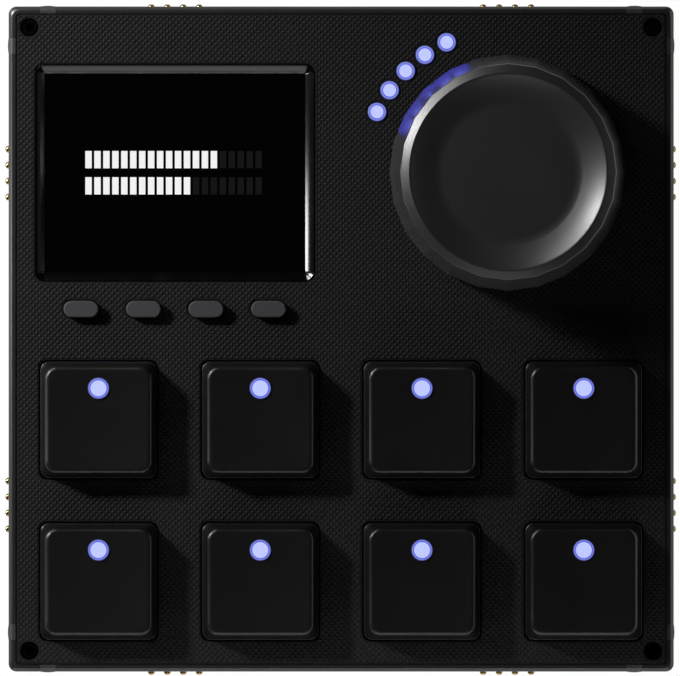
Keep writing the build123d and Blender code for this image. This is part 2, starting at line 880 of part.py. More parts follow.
save("knob_body", knob_body())
save("knob_hub", knob_hub())
save("encoder_shaft", encoder_shaft())
save("encoder_plunger", Pos(knob_x, knob_y, 0) * rod(plunger_radius, plunger_bottom, plunger_top))
save("encoder_body", encoder_body())
save("encoder_washer", encoder_washer())
save("encoder_nut", encoder_nut())

save("level_light_pipes", at(level_places, level_pipe()))
level_led = slab(level_led_x, level_led_y, board_top, board_top + level_led_height)
save("level_leds", at(level_places, level_led))

groups = [(turn, sign * group_offset) for turn in wall_angles for sign in (-1, 1)]
save("contact_blocks", [on_side(turn, centre, contact_block(centre)) for turn, centre in groups])
save("spring_pins_front", pin_row(front_angle, spring_pin_proud))
save("spring_pins_left", pin_row(left_angle, spring_pin_proud))
fixed_pins = pin_row(right_angle, fixed_pin_proud) + pin_row(rear_angle, fixed_pin_proud)
save("fixed_contacts", fixed_pins)

magnets = [on_side(turn, s * (half - magnet_inset), magnet()) for turn in wall_angles for s in (-1, 1)]
save("side_magnets", magnets)
save("feet", at([(sx * foot_offset, sy * foot_offset) for sx, sy in corners], foot()))
save("case_screws", at(post_places, case_screw()))
save("threaded_inserts", at(post_places, threaded_insert()))
plate_screws = at(plate_screw_places, inner_screw(plate_top))
board_screws = at(board_screw_places, inner_screw(board_top))
save("inner_screws", plate_screws + board_screws)
save("usb_inlet", usb_inlet())
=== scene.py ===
import json
from math import ceil, copysign, cos, hypot, pi, radians, sin, sqrt, tan

import bmesh
import bpy
from bpy.props import FloatProperty, FloatVectorProperty, IntProperty, PointerProperty
from bpy.types import Operator, Panel, PropertyGroup
from mathutils import Matrix, Vector


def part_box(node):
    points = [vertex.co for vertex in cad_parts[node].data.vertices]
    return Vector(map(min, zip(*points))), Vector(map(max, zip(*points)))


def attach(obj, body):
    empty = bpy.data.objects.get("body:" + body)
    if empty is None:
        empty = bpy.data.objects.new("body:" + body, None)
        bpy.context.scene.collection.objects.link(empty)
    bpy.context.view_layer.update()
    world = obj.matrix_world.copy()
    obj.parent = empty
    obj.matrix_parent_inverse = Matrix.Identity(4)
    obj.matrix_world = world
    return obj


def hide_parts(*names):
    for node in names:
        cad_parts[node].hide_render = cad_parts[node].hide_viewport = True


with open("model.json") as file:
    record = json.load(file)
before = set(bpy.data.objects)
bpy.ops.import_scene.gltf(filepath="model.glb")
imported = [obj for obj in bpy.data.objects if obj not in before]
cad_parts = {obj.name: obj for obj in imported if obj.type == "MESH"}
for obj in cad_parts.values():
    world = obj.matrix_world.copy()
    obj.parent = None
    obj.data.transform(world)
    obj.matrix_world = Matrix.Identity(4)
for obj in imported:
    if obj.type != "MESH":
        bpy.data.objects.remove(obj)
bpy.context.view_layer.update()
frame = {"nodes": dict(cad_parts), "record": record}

bl_info = {
    "name": "Desktop Audio Controller",
    "version": (1, 0, 0),
    "blender": (4, 5, 0),
    "location": "View3D > Sidebar > Controller",
    "description": "Models and finishes the visible pieces of a desktop audio controller",
    "category": "Object",
}

MM = 0.001
# Points that are closer than this are one point
WELD = 1e-7
# Turn of each wall from the front, in degrees
WALLS = {"front": 0, "right": 90, "rear": 180, "left": 270}
# Reach of a cutter through a wall, in thicknesses of that wall
OVERCUT = 1.1


# Settings


def tint(code):
    """Linear colour of a six-digit screen colour."""
    shares = [int(code[start:start + 2], 16) / 255 for start in (0, 2, 4)]
    return tuple(s / 12.92 if s <= 0.04045 else ((s + 0.055) / 1.055) ** 2.4 for s in shares)


def length(label, text, millimetres):
    """A size that is set in millimetres and kept in metres."""
    metres = millimetres * MM
    return FloatProperty(name=label, description=text, default=metres, unit="LENGTH", precision=5)


def angle(label, text, degrees):
    """An angle that is set in degrees and kept in radians."""
    return FloatProperty(name=label, description=text, default=radians(degrees), subtype="ANGLE")


def portion(label, text, value):
    """A part of a whole, from 0 to 1."""
    return FloatProperty(name=label, description=text, default=value, min=0, max=1, subtype="FACTOR")


def amount(label, text, value):
    """A number of like things."""
    return IntProperty(name=label, description=text, default=value, min=1)


def watts(label, text, value):
    """The power of a lamp."""
    return FloatProperty(name=label, description=text, default=value, min=0, unit="POWER")


def colour(label, text, code):
    """A surface colour that is set as a screen colour and kept linear."""
    return FloatVectorProperty(name=label, description=text, default=tint(code), subtype="COLOR")


def place(label, text, millimetres):
    """A point in the controller's own frame."""
    metres = [value * MM for value in millimetres]
    return FloatVectorProperty(name=label, description=text, default=metres, unit="LENGTH")


def extent(label, text, millimetres):
    """The width and height of a flat lamp."""
    metres = [value * MM for value in millimetres]
    return FloatVectorProperty(name=label, description=text, default=metres, size=2, unit="LENGTH")


class ControllerSizes(PropertyGroup):
    """Sizes of the shapes that show"""

    body_corner: length("Body corner", "Radius of the case's upright edges", 1.25)
    rim_width: length("Rim width", "Width of the case's rim round the panel", 1.1)
    rim_bevel: length("Rim bevel", "Width of the bevel along the rim's outer edge", 0.5)
    rim_drop: length("Rim drop", "Depth of the bevel along the rim's outer edge", 0.55)
    rim_round: length("Rim round", "Radius of the edges of that bevel", 0.16)
    base_round: length("Base round", "Radius of the case's lower edge", 0.8)
    case_wall: length("Case wall", "Thickness of the case's walls", 2.0)
    case_floor: length("Case floor", "Thickness of the case's floor", 1.8)

    knurl_pitch: length("Knurl pitch", "Side of one knurl pyramid", 0.672)
    knurl_height: length("Knurl height", "Height of one knurl pyramid", 0.125)
    knurl_root: portion("Knurl root", "Depth of the knurl's sheet as a share of its height", 0.25)
    knurl_margin: length("Knurl margin", "Smooth land left round each opening", 0.3)
    panel_corner: length("Panel corner", "Radius of the panel's upright edges", 0.65)
    mouth_width: length("Mouth width", "Width of the bevel round each opening in the panel", 0.2)
    mouth_drop: length("Mouth drop", "Depth of the bevel round each opening in the panel", 0.1)
    key_opening_gap: length("Key opening gap", "Room between a key and its opening", 0.25)
    soft_gap: length("Soft button gap", "Room between a soft button and its slot", 0.12)
    soft_lap: length("Soft button lap", "Reach of a soft button's flange under the panel", 0.4)
    well_radius: length("Screw well", "Radius of the wells for the corner screws", 1.45)
    well_inset: length("Screw inset", "Distance of the corner screws from the walls", 3.27)
    bushing_hole: length("Bushing hole", "Radius of the hole for the dial's bushing", 3.6)

    cap_shoulder: length("Key top", "Side of a key's top", 16.65)
    cap_grid: amount("Key grid", "Strips across the dish in a key's top", 16)
    cap_corner: length("Key corner", "Radius of a key's upright edges", 1.3)
    cap_top_corner: length("Key top corner", "Radius of the corners of a key's top", 1.9)
    cap_round: length("Key edge", "Radius of the edge round a key's top", 0.65)
    cap_dish: length("Key dish", "Depth of the dish in a key's top", 0.55)
    cap_ledge: length("Key ledge", "Width of the ledge round a key's foot", 0.25)
    cap_ledge_height: length("Key ledge height", "Height of the ledge above the panel", 0.3)
    cap_ledge_round: length("Key ledge edge", "Radius of the ledge's edge", 0.15)
    cap_wall: length("Key wall", "Thickness of a key's walls", 1.4)
    cap_roof: length("Key roof", "Thickness of a key's top", 1.6)
    window_fit: length("Window fit", "Room round a lit window", 0.05)
    window_bevel: length("Window bevel", "Width of the bevel round a lit window", 0.45)
    window_drop: length("Window drop", "Depth of the bevel round a lit window", 0.15)
    window_dome: length("Window dome", "Rise of a lit window's middle", 0.02)
    key_core: portion("Key window core", "Radius of a key window's core as a share of its own", 0.71)

    soft_round: length("Soft button edge", "Radius of the edge round a soft button's top", 0.25)
    soft_flange: length("Soft button flange", "Thickness of a soft button's flange", 0.8)
    soft_stem_x: portion("Soft stem length", "Length of the stem as a share of the flange", 0.4)
    soft_stem_y: portion("Soft stem width", "Width of the stem as a share of the flange", 0.6)

    bezel_corner: length("Bezel corner", "Radius of the screen frame's corners", 1.5)
    bezel_edge: length("Bezel edge", "Rounding of the screen frame's outer edge", 0.02)
    bezel_width: length("Bezel width", "Width of the screen frame", 1.35)
    bezel_gap: length("Bezel gap", "Room between the screen frame and the panel", 0.12)
    bezel_outer: angle("Bezel outer slope", "Slope of the screen frame at its outer edge", 26)
    bezel_inner: angle("Bezel inner slope", "Slope of the screen frame at the glass", 40)
    bezel_strips: amount("Bezel strips", "Strips across the screen frame's slope", 8)
    bezel_step: length("Bezel step", "Height of the screen frame's inner edge over the glass", 0.05)
    bezel_hidden: length("Hidden glass", "Width of the glass under the screen frame", 0.85)
    glass_room: length("Glass room", "Room for the glass in the screen frame", 0.2)
    glass_corner: length("Glass corner", "Radius of the glass's upright edges", 0.5)
    glass_edge: length("Glass edge", "Radius of the edge round the glass's face", 0.1)

    dial_facets: amount("Dial facets", "Number of flats round the dial", 24)
    dial_steps: amount("Dial steps", "Steps under one flat when the dial is turned", 8)
    dial_base: length("Dial base", "Distance of the flats from the axis at the foot", 18.3)
    dial_rim: length("Dial rim", "Distance of the flats from the axis at the top", 16.66)
    dial_crest: length("Dial crest", "Radius of the crest between rim and dish", 15.37)
    dial_rim_angle: angle("Dial rim angle", "Slope of the rim outside the crest", 28)
    dish_floor: length("Dish floor", "Radius of the flat in the dial's dish", 10.9)
    dish_ease: length("Dish ease", "Width of the rounding between the flat and the dish's wall", 0.7)
    dish_start: angle("Dish start", "Slope of the dish's wall at the flat", 15)
    dish_end: angle("Dish end", "Slope of the dish's wall at the crest", 31)
    dial_edge: length("Dial edge", "Rounding along the dial's edges", 0.16)
    dial_crease: angle("Dial crease", "Least bend of an edge that is rounded", 10)
    dial_weld: length("Dial weld", "Distance at which points of the cut dial are joined", 0.002)
    # Faces leaning less than this from upright get the dial's lighter copy of its plastic, which is
    # painted light on the sides
    painted_light_lean: portion("Grip lean", "Least lean of a face that has the dial's own plastic", 0.25)
    dial_wall: length("Dial wall", "Thickness of the dial's wall", 2.4)
    dial_roof: length("Dial roof", "Thickness of the dial's top", 2.6)
    dial_boss: length("Dial boss", "Thickness of the boss round the dial's bush", 2.0)

    light_count: amount("Level lights", "Number of lights beside the dial", 5)
    light_arc: length("Light arc", "Radius of the arc of lights about the dial", 22.5)
    light_first: angle("First light", "Place of the first light on the arc", 115)
    light_step: angle("Light step", "Angle between neighbouring lights", 10)
    light_radius: length("Light radius", "Radius of one light's window", 1.5)
    light_bevel: length("Light bevel", "Width of the bevel round one light's window", 0.4)
    light_core: portion("Light core", "Radius of a light's core as a share of its window's", 0.65)

    contact_pitch: length("Contact pitch", "Distance between neighbouring contacts", 2.5)
    contacts_per_group: amount("Contacts", "Contacts in one group", 4)
    contact_radius: length("Contact radius", "Radius of a contact's head", 0.55)
    contact_round: length("Contact round", "Radius of the edge of a contact's head", 0.45)
    contact_collar: length("Contact collar", "Thickness of a contact's collar behind the wall", 0.8)
    contact_fit: length("Contact fit", "Room round a contact in the wall", 0.07)
    magnet_inset: length("Magnet inset", "Distance of a magnet's middle from the corner", 6.17)
    magnet_width: length("Magnet width", "Width of a magnet", 2.5)
    magnet_height: length("Magnet height", "Height of a magnet", 8.0)
    magnet_crown: length("Magnet crown", "Rise of a magnet's outer face at its middle", 0.12)
    magnet_strips: amount("Magnet strips", "Strips across a magnet's outer face", 10)
    magnet_fit: length("Magnet fit", "Room round a magnet", 0.05)
    usb_gap: length("Inlet gap", "Room round the inlet in the rear wall", 0.25)
    foot_inset: length("Foot inset", "Distance of the feet from the walls", 10.0)
    foot_round: length("Foot edge", "Radius of a foot's lower edge", 0.4)
    foot_dip: length("Foot dip", "Depth of the dip in a foot", 0.25)
    foot_dip_floor: portion("Foot dip floor", "Radius of the dip's floor as a share of the foot's", 0.55)
    foot_dip_mouth: portion("Foot dip mouth", "Radius of the dip's mouth as a share of the foot's", 0.6)
    foot_room: length("Foot pocket", "Room round a foot in its pocket", 0.1)


class ControllerColours(PropertyGroup):
    """Colours of the finishes"""

    case: colour("Case", "Satin plastic of the case", "131213")
    panel: colour("Panel", "Knurled plastic of the panel", "151414")
    keycap: colour("Keys", "Satin plastic of the keys", "0b0b0b")
    dial: colour("Dial", "Satin plastic of the dial", "212122")
    # Painted light: a lighter copy of the dial's plastic for its flats, standing in for the room light on
    # the sides
    flats_painted_light: colour("Dial grip", "Soft coat on the dial's flats", "363537")
    soft_button: colour("Soft buttons", "Grey rubber of the soft buttons", "242225")
    bezel: colour("Bezel", "Polished plastic round the screen", "020202")
    screen: colour("Screen", "Dark cover glass", "010101")
    meter_lit: colour("Meter lit", "Lit bars of the level meter", "ffffff")
    meter_unlit: colour("Meter unlit", "Unlit bars of the level meter", "161618")
    window_core: colour("Window core", "Middle of a lit window", "757bff")
    window_line: colour("Window line", "Thin line round the middle of a lit window", "313877")
    window_ring: colour("Window ring", "Ring at the edge of a lit window", "4a4f84")
    window_light: colour("Window light", "Light that a lit window throws on what is near", "4040ff")
    gold: colour("Gold", "Plated contacts", "8f7a45")
    brass: colour("Brass", "Turned brass", "cfa35a")
    steel: colour("Steel", "Plated steel", "b4b4b6")
    plate: colour("Plate", "Coated switch plate", "3a3a3a")
    oxide: colour("Black screws", "Oxide-black steel", "101010")
    magnet: colour("Magnets", "Coated magnets", "222122")
    rubber: colour("Feet", "Rubber of the feet", "262626")
    moulding: colour("Mouldings", "Plain inner mouldings", "252525")
    board: colour("Board", "Solder mask of the circuit board", "14472b")
    slider: colour("Slider", "Key sliders", "a52a2a")
    ribbon: colour("Ribbon", "Film of the display's ribbon", "b0752e")
    lamp: colour("Lamp", "Clear resin of the lamps", "dfe5f5")
    floor: colour("Floor", "Matt share of the studio floor, which keeps the shadow", "404040")


class ControllerStage(PropertyGroup):
    """Camera, lamps and floor"""

    key_place: place("Key lamp", "Where the key lamp stands", (-674, 411, 445))
    key_aim: place("Key aim", "Point that the key lamp faces", (-238, 131, 20))
    key_radius: length("Key lamp radius", "Radius of the key lamp", 81)
    key_cone: angle("Key cone", "Angle of the key lamp's soft-edged cone", 28.3)
    key_power: watts("Key power", "Power of the key lamp", 164)
    fill_place: place("Fill lamp", "Where the fill lamp stands", (0, -265, 161))
    fill_size: extent("Fill size", "Width and height of the fill lamp", (215, 105))
    fill_power: watts("Fill power", "Power of the fill lamp", 0.115)
    side_place: place("Side lamp", "Where the lamp on the right stands", (430, 0, 235))
    side_size: extent("Side size", "Width and height of the lamp on the right", (300, 140))
    side_power: watts("Side power", "Power of the lamp on the right", 0.022)
    strip_place: place("Strip lamp", "Where the small strip lamp on the left stands", (-155, 12.5, 50))
    strip_size: extent("Strip size", "Width and height of the strip lamp", (22, 34))
    strip_power: watts("Strip power", "Power of the strip lamp", 0.06)
    rear_place: place("Rear strip", "Where the strip lamp at the rear stands", (-150, 240, 185))
    rear_size: extent("Rear strip size", "Width and height of the rear strip lamp", (90, 80))
    rear_power: watts("Rear power", "Power of the rear strip lamp", 0.42)
    low_place: place("Low strip", "Where the low strip lamp in front stands", (0, -200, 58))
    low_size: extent("Low strip size", "Width and height of the low strip lamp", (300, 14))
    low_power: watts("Low power", "Power of the low strip lamp", 0.125)
    right_place: place("Right strip", "Where the low strip lamp on the right stands", (200, 0, 62))
    right_size: extent("Right strip size", "Width and height of the strip lamp on the right", (300, 66))
    right_power: watts("Right power", "Power of the strip lamp on the right", 0.12)
    card_place: place("Front card", "Where the bounce card in front stands", (0, -80, 55))
    card_size: extent("Front card size", "Width and height of the bounce card", (160, 15))
    card_power: watts("Card power", "Power of the bounce card", 0.05)
    dish_place: place("Dish lamp", "Where the small lamp for the dial's dish stands", (-212, 110, 185))
    dish_aim: place("Dish aim", "Point that the dish lamp faces", (40, 20, 40))
    dish_radius: length("Dish lamp radius", "Radius of the dish lamp", 25)
    dish_cone: angle("Dish cone", "Angle of the dish lamp's soft-edged cone", 9)
    dish_power: watts("Dish power", "Power of the dish lamp", 8)
    glow_arc: length("Glow arc", "Distance of the level lights' glow from the dial's middle", 19.6)
    glow_size: extent("Glow size", "Width and height of the glow of one level light", (3.2, 3.2))
    glow_power: watts("Glow power", "Power of the glow of one level light", 0.00002)
    target: place("Target", "Point that the lamps face", (0, 0, 20))
    room_light: portion("Room light", "Strength of the even room light", 0.012)
    floor_glow: portion("Floor glow", "Share of the floor's white that no shadow dims", 0.97)
    floor_side: length("Floor side", "Side of the floor", 40000)
    view_centre: place("View centre", "Point under the camera, level with the panel", (-0.18, 0.16, 20))
    view_width: length("View width", "Width of the picture at the panel", 106.3)
    lens: FloatProperty(name="Lens", description="Focal length", default=1500, unit="CAMERA")


# Finishes


class Wire:
    """A socket in a material's tree; arithmetic on it adds Math nodes."""

    def __init__(self, tree, socket):
        self.tree = tree
        self.socket = socket

    def node(self, kind, settings, values, output=0):
        """Add any node: its settings first, then the value or link of each socket."""
        made = self.tree.nodes.new(kind)
        for name, value in settings.items():
            setattr(made, name, value)
        for name, value in values.items():
            if isinstance(value, Wire):
                self.tree.links.new(value.socket, made.inputs[name])
            else:
                made.inputs[name].default_value = value
        return Wire(self.tree, made.outputs[output])

    def math(self, operation, first, second):
        return self.node("ShaderNodeMath", {"operation": operation}, {0: first, 1: second})

    def __add__(self, other):
        return self.math("ADD", self, other)

    def __radd__(self, other):
        return self.math("ADD", other, self)

    def __sub__(self, other):
        return self.math("SUBTRACT", self, other)

    def __rsub__(self, other):
        return self.math("SUBTRACT", other, self)

    def __mul__(self, other):
        return self.math("MULTIPLY", self, other)

    def __rmul__(self, other):
        return self.math("MULTIPLY", other, self)

    def __lt__(self, other):
        return self.math("LESS_THAN", self, other)

    def __gt__(self, other):
        return self.math("GREATER_THAN", self, other)

    def __mod__(self, other):
        return self.math("FLOORED_MODULO", self, other)

    def __abs__(self):
        return self.node("ShaderNodeMath", {"operation": "ABSOLUTE"}, {0: self})

    def ramp(self, low, high):
        """Soft step from 0 at low to 1 at high."""
        values = {"Value": self, "From Min": low, "From Max": high}
        return self.node("ShaderNodeMapRange", {"interpolation_type": "SMOOTHSTEP"}, values)

    def mix(self, first, second):
        """Colour between two colours, by this value."""
        ends = [value if isinstance(value, Wire) else (*value, 1.0) for value in (first, second)]
        return self.node("ShaderNodeMix", {"data_type": "RGBA"}, {0: self, 6: ends[0], 7: ends[1]}, 2)

    def tones(self, base, darker, lighter):
        """Tone of one colour, by this value from the first factor to the second."""
        return self.mix(shade(base, darker), shade(base, lighter))


class Finish:
    """A Principled material in the making."""

    def __init__(self, name, constants):
        self.material = bpy.data.materials.new(name)
        self.material.use_nodes = True
        self.tree = self.material.node_tree
        self.shader = self.tree.nodes["Principled BSDF"]
        for label, value in constants.items():
            self.shader.inputs[label].default_value = value
        source = self.tree.nodes.new("ShaderNodeTexCoord")
        self.place = Wire(self.tree, source.outputs["Object"])

    def feed(self, label, wire):
        self.tree.links.new(wire.socket, self.shader.inputs[label])

    def noise(self, scale, detail=2.0, stretch=(1.0, 1.0, 1.0)):
        """Cloudy value with about this many blotches to the metre."""
        vector = self.place.node("ShaderNodeMapping", {}, {"Vector": self.place, "Scale": stretch})
        values = {"Vector": vector, "Scale": scale, "Detail": detail}
        return self.place.node("ShaderNodeTexNoise", {}, values)

    def attribute(self, name):
        """Value that the mesh carries on its points."""
        return self.place.node("ShaderNodeAttribute", {"attribute_name": name}, {}, 2)

    def split(self):
        """The X, Y and Z of the place on the piece."""
        parts = self.tree.nodes.new("ShaderNodeSeparateXYZ")
        self.tree.links.new(self.place.socket, parts.inputs[0])
        return [Wire(self.tree, socket) for socket in parts.outputs]

    def bump(self, height, depth):
        """Raise the surface by a value, with its full depth in metres."""
        values = {"Height": height, "Distance": depth, "Strength": 1.0}
        self.feed("Normal", self.place.node("ShaderNodeBump", {}, values))


def shade(base, factor):
    """A colour made lighter or darker."""
    return tuple(min(1.0, channel * factor) for channel in base)


def moulded(name, base, roughness, grain=7000, depth=0.006 * MM, gloss=0.05, sheen=0.5):
    """Moulded plastic or rubber: faint blotches of tone and gloss over a fine even grain."""
    finish = Finish(name, {"Specular IOR Level": sheen})
    blotch = finish.noise(160, detail=3.0)
    fine = finish.noise(grain)
    finish.feed("Base Color", blotch.tones(base, 0.88, 1.12))
    finish.feed("Roughness", roughness + (blotch - 0.5) * gloss + (fine - 0.5) * gloss)
    finish.bump(fine, depth)
    return finish.material


def polished(name, base, roughness):
    """Polished plastic with a faint haze of wiping marks."""
    finish = Finish(name, {"IOR": 1.5})
    haze = finish.noise(260, detail=4.0, stretch=(1.0, 0.3, 1.0))
    finish.feed("Base Color", haze.tones(base, 0.8, 1.2))
    finish.feed("Roughness", roughness + haze.ramp(0.45, 0.8) * 0.05)
    return finish.material


def metal(name, base, roughness, stretch=(1.0, 1.0, 1.0)):
    """Plated or turned metal with fine marks along one direction."""
    finish = Finish(name, {"Metallic": 1.0})
    marks = finish.noise(5000, stretch=stretch)
    stain = finish.noise(300, detail=3.0)
    finish.feed("Base Color", stain.tones(base, 0.85, 1.05))
    finish.feed("Roughness", roughness + (marks - 0.5) * 0.12)
    finish.bump(marks, 0.002 * MM)
    return finish.material


def coated(name, base, roughness):
    """Powder coat: a fine orange-peel skin."""
    finish = Finish(name, {"IOR": 1.5})
    peel = finish.noise(2500, detail=1.0)
    finish.feed("Base Color", peel.tones(base, 0.9, 1.1))
    finish.feed("Roughness", roughness + (peel - 0.5) * 0.1)
    finish.bump(peel, 0.01 * MM)
    return finish.material


def solder_mask(name, base, copper):
    """Circuit board: solder mask with the tracks faintly raised under it."""
    finish = Finish(name, {"Roughness": 0.35})
    x, y, _ = finish.split()
    pitch = 1.27 * MM
    width = 0.35 * MM
    region = finish.noise(60, detail=1.0)
    tracks = ((x % pitch) < width) * (region > 0.5) + ((y % pitch) < width) * (region < 0.5)
    finish.feed("Base Color", (tracks * 0.35).mix(base, copper))
    finish.bump(tracks, 0.03 * MM)
    return finish.material


def lit_window(name, colours, core):
    """Lit window: a pale, faintly mottled core, a thin deeper line, a ring, and a dark edge that is
    painted shade of the gap round the window.

    The core is given as a share of the window's radius.
    """
    line_end = core + 0.11
    gap_shade_start, gap_shade_end = 0.91, 0.95
    finish = Finish(name, {"Roughness": 0.3, "Emission Strength": 3.0})
    spread = finish.attribute("spread")
    mottle = finish.noise(2400, detail=1.0).ramp(0.3, 0.7)
    inside = mottle.tones(colours.window_core, 0.93, 1.0)
    glow = spread.ramp(core, core + 0.04).mix(inside, colours.window_line)
    glow = spread.ramp(line_end, line_end + 0.05).mix(glow, colours.window_ring)
    # Dark edge: painted shade of the gap round the window, put into its glow
    glow = spread.ramp(gap_shade_start, gap_shade_end).mix(glow, shade(colours.window_line, 0.15))
    finish.feed("Emission Color", glow)
    finish.feed("Base Color", spread.tones(colours.window_ring, 0.3, 0.2))
    return finish.material


def meter_glass(name, colours, centre):
    """Dark glass over a lit two-row level meter."""
    half_width = 14.0 * MM
    row_offset = 2.05 * MM
    row_half = 1.35 * MM
    pitch = 1.4 * MM
    bar = 1.0 * MM
    lower_reach = 0.2 * half_width
    upper_gain = 0.3 * half_width
    pixel_pitch = 0.1275 * MM
    pixel_width = 0.1 * MM
    gap_dimming = 0.25
    finish = Finish(name, {"Roughness": 0.04, "IOR": 1.5, "Emission Strength": 1.0})
    x, y, _ = finish.split()
    across = x - centre.x
    along = y - centre.y
    inside = (abs(across) < half_width) * (abs(abs(along) - row_offset) < row_half)
    segment = inside * (((across + half_width) % pitch) < bar)
    reach = lower_reach + (along > 0.0) * upper_gain
    gaps = ((x % pixel_pitch) > pixel_width) + ((y % pixel_pitch) > pixel_width)
    lit = (across < reach).mix(colours.meter_unlit, colours.meter_lit)
    glow = (segment * (1.0 - gap_dimming * gaps)).mix((0.0, 0.0, 0.0), lit)
    finish.feed("Emission Color", glow)
    wipe = finish.noise(90, detail=3.0)
    finish.feed("Base Color", wipe.tones(colours.screen, 0.6, 1.0))
    return finish.material


# Shapes


def rounded_block(size_x, size_y, bottom, top, corner, segments=8):
    """Upright block on the Z axis with rounded upright edges."""
    shape = bmesh.new()
    middle = moved(0, 0, (bottom + top) / 2)
    stretch = Matrix.Diagonal((size_x, size_y, top - bottom, 1))
    bmesh.ops.create_cube(shape, size=1, matrix=middle @ stretch)
    upright = [edge for edge in shape.edges if abs(edge.verts[0].co.z - edge.verts[1].co.z) > WELD]
    round_edges(shape, upright, min(corner, size_x / 2, size_y / 2), segments)
    bmesh.ops.remove_doubles(shape, verts=shape.verts, dist=WELD)
    return shape


def round_edges(shape, edges, radius, segments=5):
    """Round some edges."""
    bmesh.ops.bevel(
        shape, geom=edges, offset=radius, offset_type="OFFSET", affect="EDGES",
        segments=segments, profile=0.5, material=-1, clamp_overlap=True,
    )


def cut(shape, point, normal, clear=False, among=None):
    """Cut a shape along a plane, drop what is beyond it if asked, and give the edges of the cut."""
    geometry = among or [*shape.verts, *shape.edges, *shape.faces]
    made = bmesh.ops.bisect_plane(
        shape, geom=geometry, plane_co=point, plane_no=normal, clear_outer=clear, dist=WELD
    )
    return [item for item in made["geom_cut"] if isinstance(item, bmesh.types.BMEdge)]


def level_edges(shape, height):
    """Edges that lie at one height."""
    return [edge for edge in shape.edges if all(abs(v.co.z - height) < WELD for v in edge.verts)]


def end_face(shape, upper=True):
    """The highest or lowest level face."""
    level = [face for face in shape.faces if abs(face.normal.z) > 0.99]
    return sorted(level, key=lambda face: face.calc_center_median().z)[-1 if upper else 0]


def inset(shape, face, width, depth=0.0):
    """Draw a face in evenly from its edges, and sink what is left of it."""
    bmesh.ops.inset_region(shape, faces=[face], thickness=width, depth=-depth, use_even_offset=True)


def step(shape, face, scale_x=1.0, scale_y=None, lift=0.0):
    """Grow a ring of faces inside a face, then scale and lift what is left of it."""
    scale_y = scale_x if scale_y is None else scale_y
    bmesh.ops.inset_individual(shape, faces=[face], thickness=0.0, depth=0.0)
    bmesh.ops.scale(shape, vec=(scale_x, scale_y, 1), verts=face.verts)
    bmesh.ops.translate(shape, vec=(0, 0, lift), verts=face.verts)


def even(start, end, parts):
    """Values from start to end in even parts."""
    return [start + (end - start) * index / parts for index in range(parts + 1)]


def turned(profile, steps):
    """Solid turned about the Z axis from points of radius and height, first and last on the axis."""
    shape = bmesh.new()
    points = [shape.verts.new((radius, 0, height)) for radius, height in profile]
    edges = [shape.edges.new(pair) for pair in zip(points, points[1:])]
    bmesh.ops.spin(
        shape, geom=points + edges, cent=(0, 0, 0), axis=(0, 0, 1),
        angle=2 * pi, steps=steps, use_merge=True,
    )
    bmesh.ops.remove_doubles(shape, verts=shape.verts, dist=WELD)
    bmesh.ops.recalc_face_normals(shape, faces=shape.faces)
    return shape


def arc(centre_radius, centre_height, radius, start, end, parts=6):
    """Points of an arc in a turned profile, from one angle to another in degrees."""
    turns = [radians(turn) for turn in even(start, end, parts)]
    return [(centre_radius + radius * cos(turn), centre_height + radius * sin(turn)) for turn in turns]


def window_plug(sizes, radius, bevel, low, high):
    """Plug of a lit window: a low dome inside a bevel."""
    face = radius - bevel
    dome = [(face * share, high - sizes.window_dome * share ** 2) for share in even(0, 1, 4)]
    return turned([*dome, (radius, high - sizes.window_drop), (radius, low), (0, low)], steps=40)


def mesh_of(shape, x=0.0, y=0.0):
    """Mesh of a bmesh, which is freed, moved to a place on the panel."""
    mesh = bpy.data.meshes.new("shape")
    shape.to_mesh(mesh)
    shape.free()
    mesh.transform(moved(x, y))
    return mesh


def gather(patterns):
    """One bmesh of many shapes, each given with the matrices that place its copies."""
    whole = bmesh.new()
    for shape, matrices in patterns:
        mesh = mesh_of(shape)
        for matrix in matrices:
            copy = mesh.copy()
            copy.transform(matrix)
            whole.from_mesh(copy)
            bpy.data.meshes.remove(copy)
        bpy.data.meshes.remove(mesh)
    return whole


def carve(shape, cutters):
    """Mesh of a shape with the cutters' volume taken out."""
    blank = bpy.data.objects.new("blank", mesh_of(shape))
    tool = bpy.data.objects.new("tool", mesh_of(cutters))
    for item in (blank, tool):
        bpy.context.scene.collection.objects.link(item)
    change = blank.modifiers.new("carve", "BOOLEAN")
    change.operation = "DIFFERENCE"
    change.solver = "MANIFOLD"
    change.object = tool
    bpy.context.view_layer.update()
    evaluated = blank.evaluated_get(bpy.context.evaluated_depsgraph_get())
    carved = bpy.data.meshes.new_from_object(evaluated)
    for item in (blank, tool):
        mesh = item.data
        bpy.data.objects.remove(item)
        bpy.data.meshes.remove(mesh)
    cleaned = bmesh.new()
    cleaned.from_mesh(carved)
    bpy.data.meshes.remove(carved)
    bmesh.ops.dissolve_degenerate(cleaned, dist=WELD, edges=cleaned.edges)
    return mesh_of(cleaned)


def add_piece(name, mesh, material, body, nodes, smooth=35.0):
    """Put a finished mesh into the scene on its body, in place of its solids."""
    mesh.name = name
    mesh.materials.clear()
    mesh.materials.append(material)
    if smooth:
        mesh.shade_smooth()
        mesh.set_sharp_from_angle(angle=radians(smooth))
    else:
        mesh.shade_flat()
    piece = bpy.data.objects.new(name, mesh)
    bpy.context.scene.collection.objects.link(piece)
    if smooth:
        evened = piece.modifiers.new("even_normals", "WEIGHTED_NORMAL")
        evened.keep_sharp = True
    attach(piece, body)
    if nodes:
        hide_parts(*nodes)


def middle_of(node):
    """Middle of a node's box."""
    low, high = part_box(node)
    return (low + high) / 2


def moved(x, y, z=0.0):
    """Matrix of a plain move."""
    return Matrix.Translation((x, y, z))


def mark_spread(mesh, centres, radius):
    """Store on each point its distance from the middle of its window, as a share of the radius."""
    points = [vertex.co for vertex in mesh.vertices]
    values = [min(hypot(co.x - x, co.y - y) for x, y in centres) / radius for co in points]
    mesh.attributes.new("spread", "FLOAT", "POINT").data.foreach_set("value", values)


